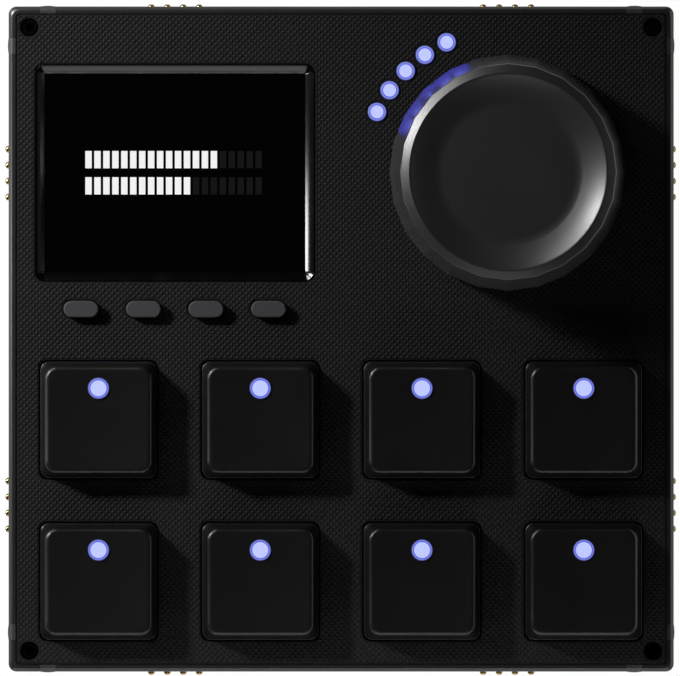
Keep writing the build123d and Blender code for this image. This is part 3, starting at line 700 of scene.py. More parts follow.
def numbers(prefix):
    """Numbers that end the names of the nodes with this prefix."""
    names = [row["node"] for row in frame["record"]["subparts"]]
    return sorted(int(name.removeprefix(prefix)) for name in names if name.startswith(prefix))


def on_wall(wall, offset, height):
    """Matrix that carries a shape made along +Z to a wall, pointing out of it."""
    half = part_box("case_tray")[1].x
    turn = Matrix.Rotation(radians(WALLS[wall]), 4, "Z")
    return turn @ moved(offset, -half, height) @ Matrix.Rotation(pi / 2, 4, "X")


def contact_offsets(sizes):
    """Places of the contacts along a wall."""
    group = middle_of("knob_body").x
    last = sizes.contacts_per_group - 1
    steps = [(index - last / 2) * sizes.contact_pitch for index in range(last + 1)]
    return [side * group + step_along for side in (-1, 1) for step_along in steps]


def magnet_places(sizes):
    """Matrices that carry a magnet to its eight places in the rim."""
    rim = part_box("case_tray")[1]
    reach = rim.x - sizes.magnet_inset
    height = rim.z - sizes.magnet_height / 2
    return [on_wall(wall, end * reach, height) for wall in WALLS for end in (-1, 1)]


def corner_places(inset_by):
    """Four places near the case's corners."""
    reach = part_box("case_tray")[1].x - inset_by
    return [(x * reach, y * reach) for x in (-1, 1) for y in (-1, 1)]


def light_places(sizes, radius):
    """Places of the level lights on an arc of this radius round the dial."""
    dial = middle_of("knob_body")
    turns = [sizes.light_first + index * sizes.light_step for index in range(sizes.light_count)]
    return [(dial.x + radius * cos(turn), dial.y + radius * sin(turn)) for turn in turns]


# Pieces


class CONTROLLER_OT_case(Operator):
    """Model the case with its rounded rim and the holes in its walls"""

    bl_idname = "controller.case"
    bl_label = "Case"

    def execute(self, context):
        sizes = context.scene.controller_sizes
        low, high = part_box("case_tray")
        side = high.x - low.x
        recess = side - 2 * sizes.rim_width
        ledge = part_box("top_panel")[0].z
        shoulder = high.z - sizes.rim_drop
        shape = rounded_block(side, side, low.z, shoulder, sizes.body_corner)
        face = end_face(shape)
        step(shape, face, scale_x=(side - 2 * sizes.rim_bevel) / side, lift=sizes.rim_drop)
        bevel = level_edges(shape, high.z) + level_edges(shape, shoulder)
        round_edges(shape, bevel, sizes.rim_round, segments=3)
        round_edges(shape, level_edges(shape, low.z), sizes.base_round)
        face = end_face(shape)
        flat = max(vert.co.x for vert in face.verts)
        inset(shape, face, flat - recess / 2)
        step(shape, face, lift=ledge - high.z)
        step(shape, face, scale_x=(side - 2 * sizes.case_wall) / recess)
        step(shape, face, lift=low.z + sizes.case_floor - ledge)
        mesh = carve(shape, self.cutters(sizes))
        material = moulded("case_plastic", context.scene.controller_colours.case, 0.35)
        add_piece("case_shell", mesh, material, "case", ["case_tray"])
        return {"FINISHED"}

    def cutters(self, sizes):
        """What is cut out of the walls and the floor."""
        through = OVERCUT * sizes.case_wall
        pin_height = middle_of("spring_pins_front").z
        bore = sizes.contact_radius + sizes.contact_fit
        pin = bmesh.new()
        bmesh.ops.create_cone(
            pin, cap_ends=True, segments=24, depth=2 * through, radius1=bore, radius2=bore
        )
        pins = [on_wall(wall, offset, pin_height) for wall in WALLS for offset in contact_offsets(sizes)]

        spare = 2 * sizes.magnet_fit
        wide = sizes.magnet_width + spare
        tall = sizes.magnet_height + spare
        bar = rounded_block(wide, tall, -sizes.rim_width - spare, sizes.rim_width, spare, segments=2)

        inlet_low, inlet_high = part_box("usb_inlet")
        inlet_height = inlet_high.z - inlet_low.z + 2 * sizes.usb_gap
        inlet_width = inlet_high.x - inlet_low.x + 2 * sizes.usb_gap
        slot = rounded_block(inlet_width, inlet_height, -through, through, inlet_height / 2, segments=10)
        slots = [on_wall("rear", 0, (inlet_low.z + inlet_high.z) / 2)]

        foot_low, foot_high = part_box("feet")
        foot = foot_high.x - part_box("case_tray")[1].x + sizes.foot_inset + sizes.foot_room
        pocket = rounded_block(2 * foot, 2 * foot, foot_low.z, foot_high.z, foot, segments=12)
        pockets = [moved(x, y) for x, y in corner_places(sizes.foot_inset)]
        return gather([(pin, pins), (bar, magnet_places(sizes)), (slot, slots), (pocket, pockets)])


class CONTROLLER_OT_panel(Operator):
    """Model the let-in panel and the knurl on its face"""

    bl_idname = "controller.panel"
    bl_label = "Panel"

    def execute(self, context):
        sizes = context.scene.controller_sizes
        colours = context.scene.controller_colours
        material = moulded("panel_plastic", colours.panel, 0.6, gloss=0.12, sheen=0.05)
        low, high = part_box("top_panel")
        side = high.x - low.x
        valley = high.z - sizes.knurl_height
        plate = rounded_block(side, side, low.z, valley, sizes.panel_corner, segments=4)
        round_edges(plate, level_edges(plate, valley), sizes.mouth_drop, segments=2)
        mesh = carve(plate, self.openings(sizes, low.z, valley, bevelled=True))
        add_piece("panel_plate", mesh, material, "case", ["top_panel"])

        field = self.knurl(sizes, side - 2 * sizes.knurl_margin, valley)
        mesh = carve(field, self.openings(sizes, low.z, high.z, spread=sizes.knurl_margin))
        add_piece("panel_knurl", mesh, material, "case", [], smooth=0)
        return {"FINISHED"}

    def knurl(self, sizes, side, valley):
        """Thin sheet with a field of pyramids on its face, their rows askew to its edges."""
        count = ceil(side * sqrt(2) / sizes.knurl_pitch)
        shape = bmesh.new()
        bmesh.ops.create_grid(
            shape, x_segments=count, y_segments=count, size=count * sizes.knurl_pitch / 2,
            matrix=moved(0, 0, valley) @ Matrix.Rotation(pi / 4, 4, "Z"),
        )
        bmesh.ops.poke(shape, faces=shape.faces, offset=sizes.knurl_height)
        for turn in WALLS.values():
            out = Matrix.Rotation(radians(turn), 3, "Z") @ Vector((1, 0, 0))
            cut(shape, out * side / 2, out, clear=True)
        border = [edge for edge in shape.edges if edge.is_boundary]
        made = bmesh.ops.extrude_edge_only(shape, edges=border)["geom"]
        for vert in made:
            if isinstance(vert, bmesh.types.BMVert):
                vert.co.z = valley - sizes.knurl_root * sizes.knurl_height
        rim = [item for item in made if isinstance(item, bmesh.types.BMEdge)]
        bmesh.ops.contextual_create(shape, geom=rim)
        bmesh.ops.recalc_face_normals(shape, faces=shape.faces)
        return shape

    def openings(self, sizes, bottom, top, spread=0.0, bevelled=False):
        """Cutters for everything that shows through the panel, spread by a margin."""
        def cutter(size_x, size_y, corner, segments=12):
            size_x, size_y = size_x + 2 * spread, size_y + 2 * spread
            drop, wider = (sizes.mouth_drop, 2 * sizes.mouth_width) if bevelled else (0.0, 0.0)
            shape = rounded_block(size_x, size_y, bottom - MM, top - drop, corner + spread, segments)
            face = end_face(shape)
            if bevelled:
                step(shape, face, (size_x + wider) / size_x, (size_y + wider) / size_y, drop)
            step(shape, face, lift=MM)
            return shape

        cap_low, cap_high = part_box("keycap_1")
        opening = cap_high.x - cap_low.x + 2 * sizes.key_opening_gap
        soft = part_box("soft_button_1")
        soft_x = soft[1].x - soft[0].x - 2 * sizes.soft_lap
        soft_y = soft[1].y - soft[0].y - 2 * sizes.soft_lap
        frame_x, frame_y = [size + 2 * sizes.bezel_gap for size in bezel_size(sizes)]
        light = sizes.light_radius + sizes.window_fit
        well = sizes.well_radius
        bushing = sizes.bushing_hole
        keys = [middle_of(f"keycap_{number}").xy for number in numbers("keycap_")]
        softs = [middle_of(f"soft_button_{number}").xy for number in numbers("soft_button_")]
        patterns = (
            (cutter(opening, opening, sizes.cap_corner, 8), keys),
            (cutter(soft_x, soft_y, soft_y / 2), softs),
            (cutter(frame_x, frame_y, sizes.bezel_corner, 8), [middle_of("cover_glass").xy]),
            (cutter(2 * light, 2 * light, light), light_places(sizes, sizes.light_arc)),
            (cutter(2 * well, 2 * well, well), corner_places(sizes.well_inset)),
            (cutter(2 * bushing, 2 * bushing, bushing), [middle_of("knob_body").xy]),
        )
        return gather([(shape, [moved(x, y) for x, y in places]) for shape, places in patterns])


def bezel_size(sizes):
    """Length and depth of the screen frame, which shows its window inside its width."""
    low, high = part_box("cover_glass")
    return [high[axis] - low[axis] + 2 * (sizes.bezel_width - sizes.bezel_hidden) for axis in (0, 1)]


class CONTROLLER_OT_display(Operator):
    """Model the glossy frame round the screen and the glass in it"""

    bl_idname = "controller.display"
    bl_label = "Display"

    def execute(self, context):
        sizes = context.scene.controller_sizes
        colours = context.scene.controller_colours
        low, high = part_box("display_bezel")
        glass_low, glass_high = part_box("cover_glass")
        centre = middle_of("cover_glass")
        frame_x, frame_y = bezel_size(sizes)
        shape = rounded_block(frame_x, frame_y, low.z, high.z, sizes.bezel_corner, segments=10)
        round_edges(shape, level_edges(shape, high.z), sizes.bezel_edge, segments=2)
        face = end_face(shape)
        width = (sizes.bezel_width - sizes.bezel_edge) / sizes.bezel_strips
        for index in range(sizes.bezel_strips):
            share = (index + 0.5) / sizes.bezel_strips
            slope = tan(sizes.bezel_outer) * (1 - share) + tan(sizes.bezel_inner) * share
            inset(shape, face, width, width * slope)
        step(shape, face, lift=glass_high.z + sizes.bezel_step - face.verts[0].co.z)
        throat = face.edges[:]
        seat = end_face(shape, upper=False)
        glass_x, glass_y = glass_high.x - glass_low.x, glass_high.y - glass_low.y
        room = sizes.glass_room
        step(shape, seat, (glass_x + room) / frame_x, (glass_y + room) / frame_y)
        step(shape, seat, lift=glass_high.z - low.z)
        ledge = seat.edges[:]
        bmesh.ops.delete(shape, geom=[face, seat], context="FACES_ONLY")
        bmesh.ops.bridge_loops(shape, edges=throat + ledge)
        bmesh.ops.recalc_face_normals(shape, faces=shape.faces)
        mesh = mesh_of(shape, centre.x, centre.y)
        material = polished("bezel_plastic", colours.bezel, 0.14)
        add_piece("screen_bezel", mesh, material, "case", ["display_bezel"])

        pane = rounded_block(glass_x, glass_y, glass_low.z, glass_high.z, sizes.glass_corner, segments=4)
        round_edges(pane, level_edges(pane, glass_high.z), sizes.glass_edge, segments=2)
        mesh = mesh_of(pane, centre.x, centre.y)
        material = meter_glass("screen_glass", colours, centre)
        add_piece("screen_pane", mesh, material, "case", ["cover_glass"])
        return {"FINISHED"}


class CONTROLLER_OT_soft_buttons(Operator):
    """Model the pill-shaped soft buttons under the screen"""

    bl_idname = "controller.soft_buttons"
    bl_label = "Soft Buttons"

    def execute(self, context):
        sizes = context.scene.controller_sizes
        grey = context.scene.controller_colours.soft_button
        material = moulded("soft_rubber", grey, 0.7, grain=5000, depth=0.012 * MM, sheen=0.3)
        panel_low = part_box("top_panel")[0].z
        for number in numbers("soft_button_"):
            node = f"soft_button_{number}"
            low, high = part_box(node)
            lap = 2 * (sizes.soft_gap + sizes.soft_lap)
            size_x, size_y = high.x - low.x - lap, high.y - low.y - lap
            shape = rounded_block(size_x, size_y, panel_low, high.z, size_y / 2, segments=12)
            round_edges(shape, level_edges(shape, high.z), sizes.soft_round, segments=4)
            foot = end_face(shape, upper=False)
            step(shape, foot, (size_x + lap) / size_x, (size_y + lap) / size_y)
            step(shape, foot, lift=-sizes.soft_flange)
            step(shape, foot, sizes.soft_stem_x, sizes.soft_stem_y)
            step(shape, foot, lift=low.z - foot.verts[0].co.z)
            mesh = mesh_of(shape, *middle_of(node).xy)
            add_piece(f"soft_button_cap_{number}", mesh, material, f"soft_{number}", [node])
        return {"FINISHED"}


class CONTROLLER_OT_dial(Operator):
    """Model the dial with its flats, its sloping rim and its dished top"""

    bl_idname = "controller.dial"
    bl_label = "Dial"

    def execute(self, context):
        sizes = context.scene.controller_sizes
        low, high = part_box("knob_body")
        centre = middle_of("knob_body")
        shape = turned(self.profile(sizes, low.z, high.z), sizes.dial_steps * sizes.dial_facets)
        lean = Vector((high.z - low.z, sizes.dial_base - sizes.dial_rim)).normalized()
        for index in range(sizes.dial_facets):
            turn = Matrix.Rotation(2 * pi * (index + 0.5) / sizes.dial_facets, 3, "Z")
            out = turn @ Vector((lean.x, 0, lean.y))
            on_flat = turn @ Vector((sizes.dial_base, 0, 0)) + Vector((0, 0, low.z))
            bmesh.ops.contextual_create(shape, geom=cut(shape, on_flat, out, clear=True))
        bmesh.ops.remove_doubles(shape, verts=shape.verts, dist=sizes.dial_weld)
        bmesh.ops.recalc_face_normals(shape, faces=shape.faces)
        hollow = sizes.dial_rim - sizes.dial_wall + WELD
        outside = [edge for edge in shape.edges if min(v.co.xy.length for v in edge.verts) > hollow]
        bends = [edge for edge in outside if edge.is_manifold]
        creases = [edge for edge in bends if edge.calc_face_angle() > sizes.dial_crease]
        round_edges(shape, creases, sizes.dial_edge, segments=3)
        mesh = mesh_of(shape, centre.x, centre.y)
        colours = context.scene.controller_colours
        top = moulded("dial_plastic", colours.dial, 0.38, gloss=0.04)
        add_piece("dial_cap", mesh, top, "dial", ["knob_body"])
        # The upright flats get a lighter copy of the dial's plastic: painted light standing in for the
        # room light on the sides
        mesh.materials.append(moulded("dial_flats_painted_light", colours.flats_painted_light, 0.24, gloss=0.04))
        for face in mesh.polygons:
            face.material_index = int(abs(face.normal.z) < sizes.painted_light_lean)
        return {"FINISHED"}

    def cove_radius(self, sizes):
        """Radius of the curve in the dish's wall."""
        return (sizes.dial_crest - sizes.dish_floor) / (sin(sizes.dish_end) - sin(sizes.dish_start))

    def floor_height(self, sizes, top):
        """Height of the flat in the dish, which follows from the slopes of the dish's wall."""
        return top - self.cove_radius(sizes) * (cos(sizes.dish_start) - cos(sizes.dish_end))

    def profile(self, sizes, bottom, top):
        """Radius and height of the dial's section, from the dish to the boss for its bush."""
        floor = self.floor_height(sizes, top)
        cove = self.cove_radius(sizes)
        ease = sizes.dish_ease / tan(sizes.dish_start / 2)
        inner = sizes.dish_floor - sizes.dish_ease
        bend = even(0, sizes.dish_start, 6)
        dish = [(inner + ease * sin(turn), floor + ease * (1 - cos(turn))) for turn in bend]
        # The eased bend stands in for the first fifth of the wall
        first = sizes.dish_start + (sizes.dish_end - sizes.dish_start) / 5
        for turn in even(first, sizes.dish_end, 11):
            radius = sizes.dish_floor + cove * (sin(turn) - sin(sizes.dish_start))
            dish.append((radius, floor + cove * (cos(sizes.dish_start) - cos(turn))))
        far = sizes.dial_base + sizes.dial_wall
        fall = (far - sizes.dial_crest) * tan(sizes.dial_rim_angle)
        hollow = sizes.dial_rim - sizes.dial_wall
        ceiling = floor - sizes.dial_roof
        hub_low, hub_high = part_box("knob_hub")
        hub = (hub_high.x - hub_low.x) / 2
        boss = hub + sizes.dial_boss
        outside = [(far, top - fall), (far, bottom)]
        inside = [(hollow, bottom), (hollow, ceiling), (boss, ceiling), (boss, hub_low.z)]
        bush = [(hub, hub_low.z), (hub, hub_high.z), (0, hub_high.z)]
        return [(0, floor), *dish, *outside, *inside, *bush]


class CONTROLLER_OT_level_lights(Operator):
    """Model the arc of lit windows beside the dial"""

    bl_idname = "controller.level_lights"
    bl_label = "Level Lights"

    def execute(self, context):
        sizes = context.scene.controller_sizes
        colours = context.scene.controller_colours
        low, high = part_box("level_light_pipes")
        plug = window_plug(sizes, sizes.light_radius, sizes.light_bevel, low.z, high.z)
        places = light_places(sizes, sizes.light_arc)
        mesh = mesh_of(gather([(plug, [moved(x, y) for x, y in places])]))
        mark_spread(mesh, places, sizes.light_radius)
        material = lit_window("level_window", colours, sizes.light_core)
        add_piece("level_windows", mesh, material, "case", ["level_light_pipes"])
        return {"FINISHED"}


class CONTROLLER_OT_keys(Operator):
    """Model the dished keycaps and their lit windows"""

    bl_idname = "controller.keys"
    bl_label = "Keys"

    def execute(self, context):
        sizes = context.scene.controller_sizes
        colours = context.scene.controller_colours
        plastic = moulded("key_plastic", colours.keycap, 0.34, sheen=0.28)
        glow = lit_window("key_window", colours, sizes.key_core)
        cap = self.cap(sizes)
        window = self.window(sizes)
        for number in numbers("keycap_"):
            x, y = middle_of(f"keycap_{number}").xy
            body = f"key_{number}"
            for name, pattern, material, slot, node in (
                (f"key_cap_{number}", cap, plastic, "keycap_black", f"keycap_{number}"),
                (f"key_window_{number}", window, glow, "window_blue", f"key_lens_{number}"),
            ):
                mesh = pattern.copy()
                mesh.transform(moved(x, y))
                add_piece(name, mesh, material, body, [node])
        for pattern in (cap, window):
            bpy.data.meshes.remove(pattern)
        return {"FINISHED"}

    def cap(self, sizes):
        """Hollow tapered cap with a dished top and a hole for its window."""
        low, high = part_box("keycap_1")
        base = high.x - low.x
        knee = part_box("top_panel")[1].z
        ledge = knee + sizes.cap_ledge_height
        shape = rounded_block(base, base, low.z, ledge, sizes.cap_corner, segments=10)
        round_edges(shape, level_edges(shape, ledge), sizes.cap_ledge_round, segments=3)
        top = end_face(shape)
        inset(shape, top, sizes.cap_ledge - sizes.cap_ledge_round)
        step(shape, top, sizes.cap_shoulder / (base - 2 * sizes.cap_ledge), lift=high.z - ledge)
        self.widen_corners(top, sizes.cap_top_corner)
        round_edges(shape, top.edges[:], sizes.cap_round, segments=6)
        self.dish(sizes, shape, high.z)
        foot = end_face(shape, upper=False)
        inside = base - 2 * sizes.cap_wall
        depth = high.z - sizes.cap_roof - low.z
        narrowing = base - sizes.cap_shoulder
        step(shape, foot, inside / base)
        step(shape, foot, lift=knee - low.z)
        step(shape, foot, (inside - narrowing) / inside, lift=low.z + depth - knee)
        window = middle_of("key_lens_1") - middle_of("keycap_1")
        lens_low, lens_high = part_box("key_lens_1")
        hole = lens_high.x - lens_low.x + 2 * sizes.window_fit
        bore = rounded_block(hole, hole, low.z + depth - MM, high.z + MM, hole / 2, segments=12)
        return carve(shape, gather([(bore, [moved(window.x, window.y)])]))

    def widen_corners(self, face, radius):
        """Give a square face's rounded corners another radius."""
        half = max(vert.co.x for vert in face.verts)
        flat = max(vert.co.y for vert in face.verts if half - vert.co.x < WELD)
        growth = radius / (half - flat)
        for vert in face.verts:
            for axis in (0, 1):
                reach = half - (half - abs(vert.co[axis])) * growth
                vert.co[axis] = copysign(reach, vert.co[axis])

    def dish(self, sizes, shape, high):
        """Cut a cap's top into a grid and sink it to a shallow bowl."""
        line = high - sizes.cap_round - WELD
        span = sizes.cap_shoulder / sizes.cap_grid
        for axis in (Vector((1, 0, 0)), Vector((0, 1, 0))):
            for index in range(1, sizes.cap_grid):
                faces = [face for face in shape.faces if all(vert.co.z > line for vert in face.verts)]
                edges = {edge for face in faces for edge in face.edges}
                verts = {vert for face in faces for vert in face.verts}
                point = axis * (index - sizes.cap_grid / 2) * span
                cut(shape, point, axis, among=[*faces, *edges, *verts])
        reach = sizes.cap_shoulder / sqrt(2)
        for vert in shape.verts:
            if vert.co.z > line:
                vert.co.z -= sizes.cap_dish * max(0.0, 1 - (vert.co.xy.length / reach) ** 2)

    def window(self, sizes):
        """Window plug with a bevelled edge."""
        low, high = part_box("key_lens_1")
        radius = (high.x - low.x) / 2
        offset = middle_of("key_lens_1") - middle_of("keycap_1")
        plug = window_plug(sizes, radius, sizes.window_bevel, low.z, high.z)
        mesh = mesh_of(plug, offset.x, offset.y)
        mark_spread(mesh, [(offset.x, offset.y)], radius)
        return mesh


class CONTROLLER_OT_contacts(Operator):
    """Model the gold contacts in the four walls"""

    bl_idname = "controller.contacts"
    bl_label = "Contacts"

    def execute(self, context):
        sizes = context.scene.controller_sizes
        material = metal("gold_plate", context.scene.controller_colours.gold, 0.16)
        for name, walls, body, node in (
            ("front_contacts", ["front"], "front_pins", "spring_pins_front"),
            ("left_contacts", ["left"], "left_pins", "spring_pins_left"),
            ("fixed_contact_heads", ["right", "rear"], "case", "fixed_contacts"),
        ):
            low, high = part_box(node)
            height = (low.z + high.z) / 2
            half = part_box("case_tray")[1].x
            proud = max(-low.x, -low.y, high.x, high.y) - half
            offsets = contact_offsets(sizes)
            places = [on_wall(wall, offset, height) for wall in walls for offset in offsets]
            contact = turned(self.profile(sizes, proud, high.z - height), steps=20)
            mesh = mesh_of(gather([(contact, places)]))
            add_piece(name, mesh, material, body, [node])
        return {"FINISHED"}

    def profile(self, sizes, proud, collar):
        """Section of one contact, from its tip to the collar behind the wall."""
        radius, edge = sizes.contact_radius, sizes.contact_round
        tip = arc(radius - edge, proud - edge, edge, start=90, end=0)
        back = -sizes.case_wall
        end = back - sizes.contact_collar
        return [(0, proud), *tip, (radius, back), (collar, back), (collar, end), (0, end)]


class CONTROLLER_OT_magnets(Operator):
    """Model the magnets let into the rim, bevelled as the rim is"""

    bl_idname = "controller.magnets"
    bl_label = "Magnets"

    def execute(self, context):
        sizes = context.scene.controller_sizes
        shape = bmesh.new()
        middle = moved(0, 0, -sizes.rim_width / 2)
        block = Matrix.Diagonal((sizes.magnet_width, sizes.magnet_height, sizes.rim_width, 1))
        bmesh.ops.create_cube(shape, size=1, matrix=middle @ block)
        half = sizes.magnet_width / 2
        for x in even(-half, half, sizes.magnet_strips)[1:-1]:
            cut(shape, (x, 0, 0), (1, 0, 0))
        for vert in shape.verts:
            if abs(vert.co.z) < WELD:
                vert.co.z = sizes.magnet_crown * (1 - (vert.co.x / half) ** 2)
        slope = Vector((0, sizes.rim_bevel, sizes.rim_drop)).normalized()
        rim = cut(shape, (0, sizes.magnet_height / 2 - sizes.rim_drop, 0), slope, clear=True)
        bmesh.ops.contextual_create(shape, geom=rim)
        bmesh.ops.recalc_face_normals(shape, faces=shape.faces)
        along = [edge for edge in rim if abs(edge.verts[0].co.x - edge.verts[1].co.x) > WELD]
        round_edges(shape, along, sizes.rim_round, segments=3)
        mesh = mesh_of(gather([(shape, magnet_places(sizes))]))
        material = coated("magnet_coat", context.scene.controller_colours.magnet, 0.4)
        add_piece("rim_magnets", mesh, material, "case", ["side_magnets"])
        return {"FINISHED"}


class CONTROLLER_OT_feet(Operator):
    """Model the rubber feet"""

    bl_idname = "controller.feet"
    bl_label = "Feet"

    def execute(self, context):
        sizes = context.scene.controller_sizes
        low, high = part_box("feet")
        radius = high.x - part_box("case_tray")[1].x + sizes.foot_inset
        edge = sizes.foot_round
        rounded = arc(radius - edge, low.z + edge, edge, start=-90, end=0)
        floor = low.z + sizes.foot_dip
        dip = [(0, floor), (sizes.foot_dip_floor * radius, floor)]
        mouth = (sizes.foot_dip_mouth * radius, low.z)
        foot = turned([*dip, mouth, *rounded, (radius, high.z), (0, high.z)], steps=56)
        places = [moved(x, y) for x, y in corner_places(sizes.foot_inset)]
        mesh = mesh_of(gather([(foot, places)]))
        black = context.scene.controller_colours.rubber
        material = moulded("foot_rubber", black, 0.8, grain=4000, depth=0.02 * MM)
        add_piece("foot_pads", mesh, material, "case", ["feet"])
        return {"FINISHED"}


class CONTROLLER_OT_fittings(Operator):
    """Finish the solids that keep their own shape"""

    bl_idname = "controller.fittings"
    bl_label = "Fittings"

    def execute(self, context):
        colours = context.scene.controller_colours
        finishes = {
            "plate_steel": coated("plate_coat", colours.plate, 0.5),
            "board_green": solder_mask("board_mask", colours.board, colours.brass),
            "switch_black": moulded("inner_moulding", colours.moulding, 0.55),
            "lamp_clear": polished("lamp_resin", colours.lamp, 0.15),
            "module_metal": metal("module_steel", colours.steel, 0.4, stretch=(1.0, 12.0, 1.0)),
            "brass": metal("turned_brass", colours.brass, 0.3, stretch=(1.0, 1.0, 20.0)),
            "bare_steel": metal("plated_steel", colours.steel, 0.32, stretch=(1.0, 1.0, 15.0)),
            "screw_black": metal("oxide_steel", colours.oxide, 0.4),
            "stem_red": moulded("slider_plastic", colours.slider, 0.45),
            "ribbon_amber": polished("ribbon_film", colours.ribbon, 0.3),
        }
        for row in frame["record"]["subparts"]:
            solid = frame["nodes"][row["node"]]
            if not solid.hide_render:
                for holder in solid.material_slots:
                    holder.material = finishes[row["material_slot"]]
        return {"FINISHED"}


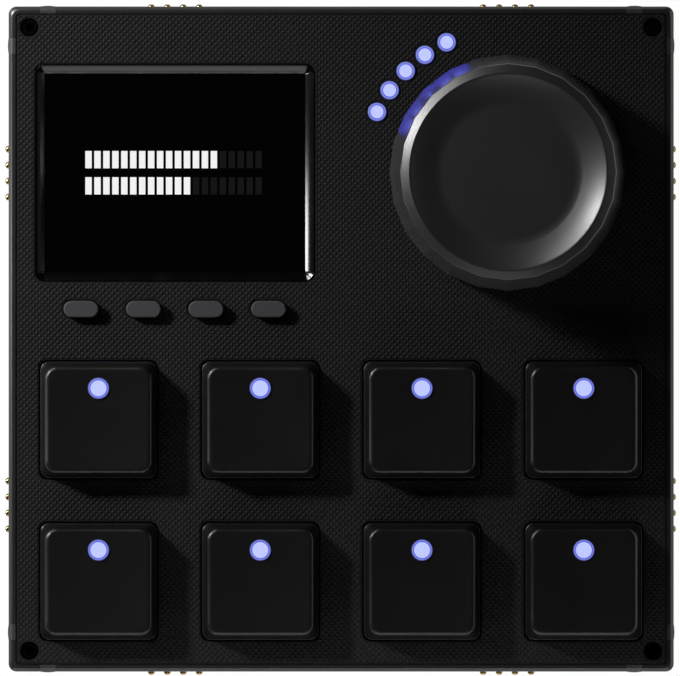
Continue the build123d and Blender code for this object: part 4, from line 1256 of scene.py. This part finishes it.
class CONTROLLER_OT_stage(Operator):
    """Set the floor, the lamps, the room light and the camera"""

    bl_idname = "controller.stage"
    bl_label = "Stage"

    def execute(self, context):
        stage = context.scene.controller_stage
        self.floor(context, stage)
        key = self.spot("key_lamp", stage.key_radius, stage.key_cone)
        self.stand(key, stage.key_place, stage.key_aim, stage.key_power)
        for name, spot, size, power, lights in (
            ("fill_lamp", stage.fill_place, stage.fill_size, stage.fill_power, "all"),
            ("strip_lamp", stage.strip_place, stage.strip_size, stage.strip_power, "gloss"),
            ("rear_strip", stage.rear_place, stage.rear_size, stage.rear_power, "gloss"),
            ("low_strip", stage.low_place, stage.low_size, stage.low_power, "gloss"),
            ("right_strip", stage.right_place, stage.right_size, stage.right_power, "gloss"),
            ("side_lamp", stage.side_place, stage.side_size, stage.side_power, "all"),
            ("front_card", stage.card_place, stage.card_size, stage.card_power, "matt"),
        ):
            self.stand(self.flat(name, size), spot, stage.target, power, lights)
        dish = self.spot("dish_lamp", stage.dish_radius, stage.dish_cone)
        self.stand(dish, stage.dish_place, stage.dish_aim, stage.dish_power, "gloss")
        sizes = context.scene.controller_sizes
        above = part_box("level_light_pipes")[1].z + sizes.window_drop
        for number, (x, y) in enumerate(light_places(sizes, stage.glow_arc), 1):
            glow = self.flat(f"window_glow_{number}", stage.glow_size)
            glow.color = context.scene.controller_colours.window_light
            self.stand(glow, (x, y, above), (x, y, 2 * above), stage.glow_power, "gloss")
        self.room(context, stage)
        self.camera(context, stage)
        context.scene.view_settings.view_transform = "Standard"
        return {"FINISHED"}

    def floor(self, context, stage):
        """Pale floor that the camera and reflections see nearly white, and that keeps its shadow."""
        shape = bmesh.new()
        bmesh.ops.create_grid(shape, x_segments=1, y_segments=1, size=stage.floor_side / 2)
        mesh = mesh_of(shape)
        mesh.name = "studio_floor"
        material = bpy.data.materials.new("studio_floor")
        material.use_nodes = True
        tree = material.node_tree
        tree.nodes.remove(tree.nodes["Principled BSDF"])
        path = tree.nodes.new("ShaderNodeLightPath")
        kinds = ("Camera", "Glossy", "Transmission")
        camera, glossy, through = [Wire(tree, path.outputs[f"Is {kind} Ray"]) for kind in kinds]
        seen = (camera + glossy + through) * stage.floor_glow
        glow = seen.node("ShaderNodeEmission", {}, {"Color": (1, 1, 1, 1), "Strength": seen})
        grey = (*context.scene.controller_colours.floor, 1)
        matt = seen.node("ShaderNodeBsdfDiffuse", {}, {"Color": grey})
        both = seen.node("ShaderNodeAddShader", {}, {0: glow, 1: matt})
        tree.links.new(both.socket, tree.nodes["Material Output"].inputs["Surface"])
        mesh.materials.append(material)
        floor = bpy.data.objects.new("studio_floor", mesh)
        context.scene.collection.objects.link(floor)

    def spot(self, name, radius, cone):
        """Round lamp with a soft-edged cone of light."""
        light = bpy.data.lights.new(name, "SPOT")
        light.shadow_soft_size = radius
        light.spot_size = cone
        light.spot_blend = 1.0
        return light

    def flat(self, name, size):
        """Rectangular lamp."""
        light = bpy.data.lights.new(name, "AREA")
        light.shape = "RECTANGLE"
        light.size, light.size_y = size
        return light

    def stand(self, light, spot, target, power, lights="all"):
        """Put a lamp in its place, unseen by the camera, to light all or just the gloss or matt share."""
        light.energy = power
        lamp = bpy.data.objects.new(light.name, light)
        lamp.location = spot
        lamp.rotation_euler = (Vector(target) - Vector(spot)).to_track_quat("-Z", "Y").to_euler()
        lamp.visible_camera = False
        lamp.visible_diffuse = lights != "gloss"
        lamp.visible_glossy = lights != "matt"
        bpy.context.scene.collection.objects.link(lamp)

    def room(self, context, stage):
        """Dim even light all round, white to the camera."""
        world = bpy.data.worlds.new("studio_room")
        world.use_nodes = True
        context.scene.world = world
        tree = world.node_tree
        path = tree.nodes.new("ShaderNodeLightPath")
        seen = Wire(tree, path.outputs["Is Camera Ray"])
        strength = stage.room_light + seen * (1.0 - stage.room_light)
        tree.nodes["Background"].inputs["Color"].default_value = (1, 1, 1, 1)
        tree.links.new(strength.socket, tree.nodes["Background"].inputs["Strength"])

    def camera(self, context, stage):
        """Camera straight above the panel, far off, with a long lens."""
        lens = bpy.data.cameras.new("view")
        lens.lens = stage.lens
        distance = stage.view_width * stage.lens / lens.sensor_width
        lens.clip_end = 2 * distance
        camera = bpy.data.objects.new("view", lens)
        camera.location = Vector(stage.view_centre) + Vector((0, 0, distance))
        context.scene.collection.objects.link(camera)
        context.scene.camera = camera


class VIEW3D_PT_controller(Panel):
    """Lists the steps that make the controller, and its settings"""

    bl_label = "Controller"
    bl_space_type = "VIEW_3D"
    bl_region_type = "UI"
    bl_category = "Controller"

    def draw(self, context):
        for step_class in STEPS:
            self.layout.operator(step_class.bl_idname)
        for name in SETTINGS:
            group = getattr(context.scene, name)
            box = self.layout.box()
            for field in group.__annotations__:
                box.prop(group, field)


STEPS = (
    CONTROLLER_OT_case,
    CONTROLLER_OT_panel,
    CONTROLLER_OT_display,
    CONTROLLER_OT_soft_buttons,
    CONTROLLER_OT_dial,
    CONTROLLER_OT_level_lights,
    CONTROLLER_OT_keys,
    CONTROLLER_OT_contacts,
    CONTROLLER_OT_magnets,
    CONTROLLER_OT_feet,
    CONTROLLER_OT_fittings,
    CONTROLLER_OT_stage,
)
SETTINGS = {
    "controller_sizes": ControllerSizes,
    "controller_colours": ControllerColours,
    "controller_stage": ControllerStage,
}


def register():
    for group in (*SETTINGS.values(), *STEPS, VIEW3D_PT_controller):
        bpy.utils.register_class(group)
    for name, group in SETTINGS.items():
        setattr(bpy.types.Scene, name, PointerProperty(type=group))


def unregister():
    for name in SETTINGS:
        delattr(bpy.types.Scene, name)
    for group in reversed((*SETTINGS.values(), *STEPS, VIEW3D_PT_controller)):
        bpy.utils.unregister_class(group)


def main():
    register()
    bpy.ops.controller.case()
    bpy.ops.controller.panel()
    bpy.ops.controller.display()
    bpy.ops.controller.soft_buttons()
    bpy.ops.controller.dial()
    bpy.ops.controller.level_lights()
    bpy.ops.controller.keys()
    bpy.ops.controller.contacts()
    bpy.ops.controller.magnets()
    bpy.ops.controller.feet()
    bpy.ops.controller.fittings()
    bpy.ops.controller.stage()


if __name__ == "__main__":
    main()
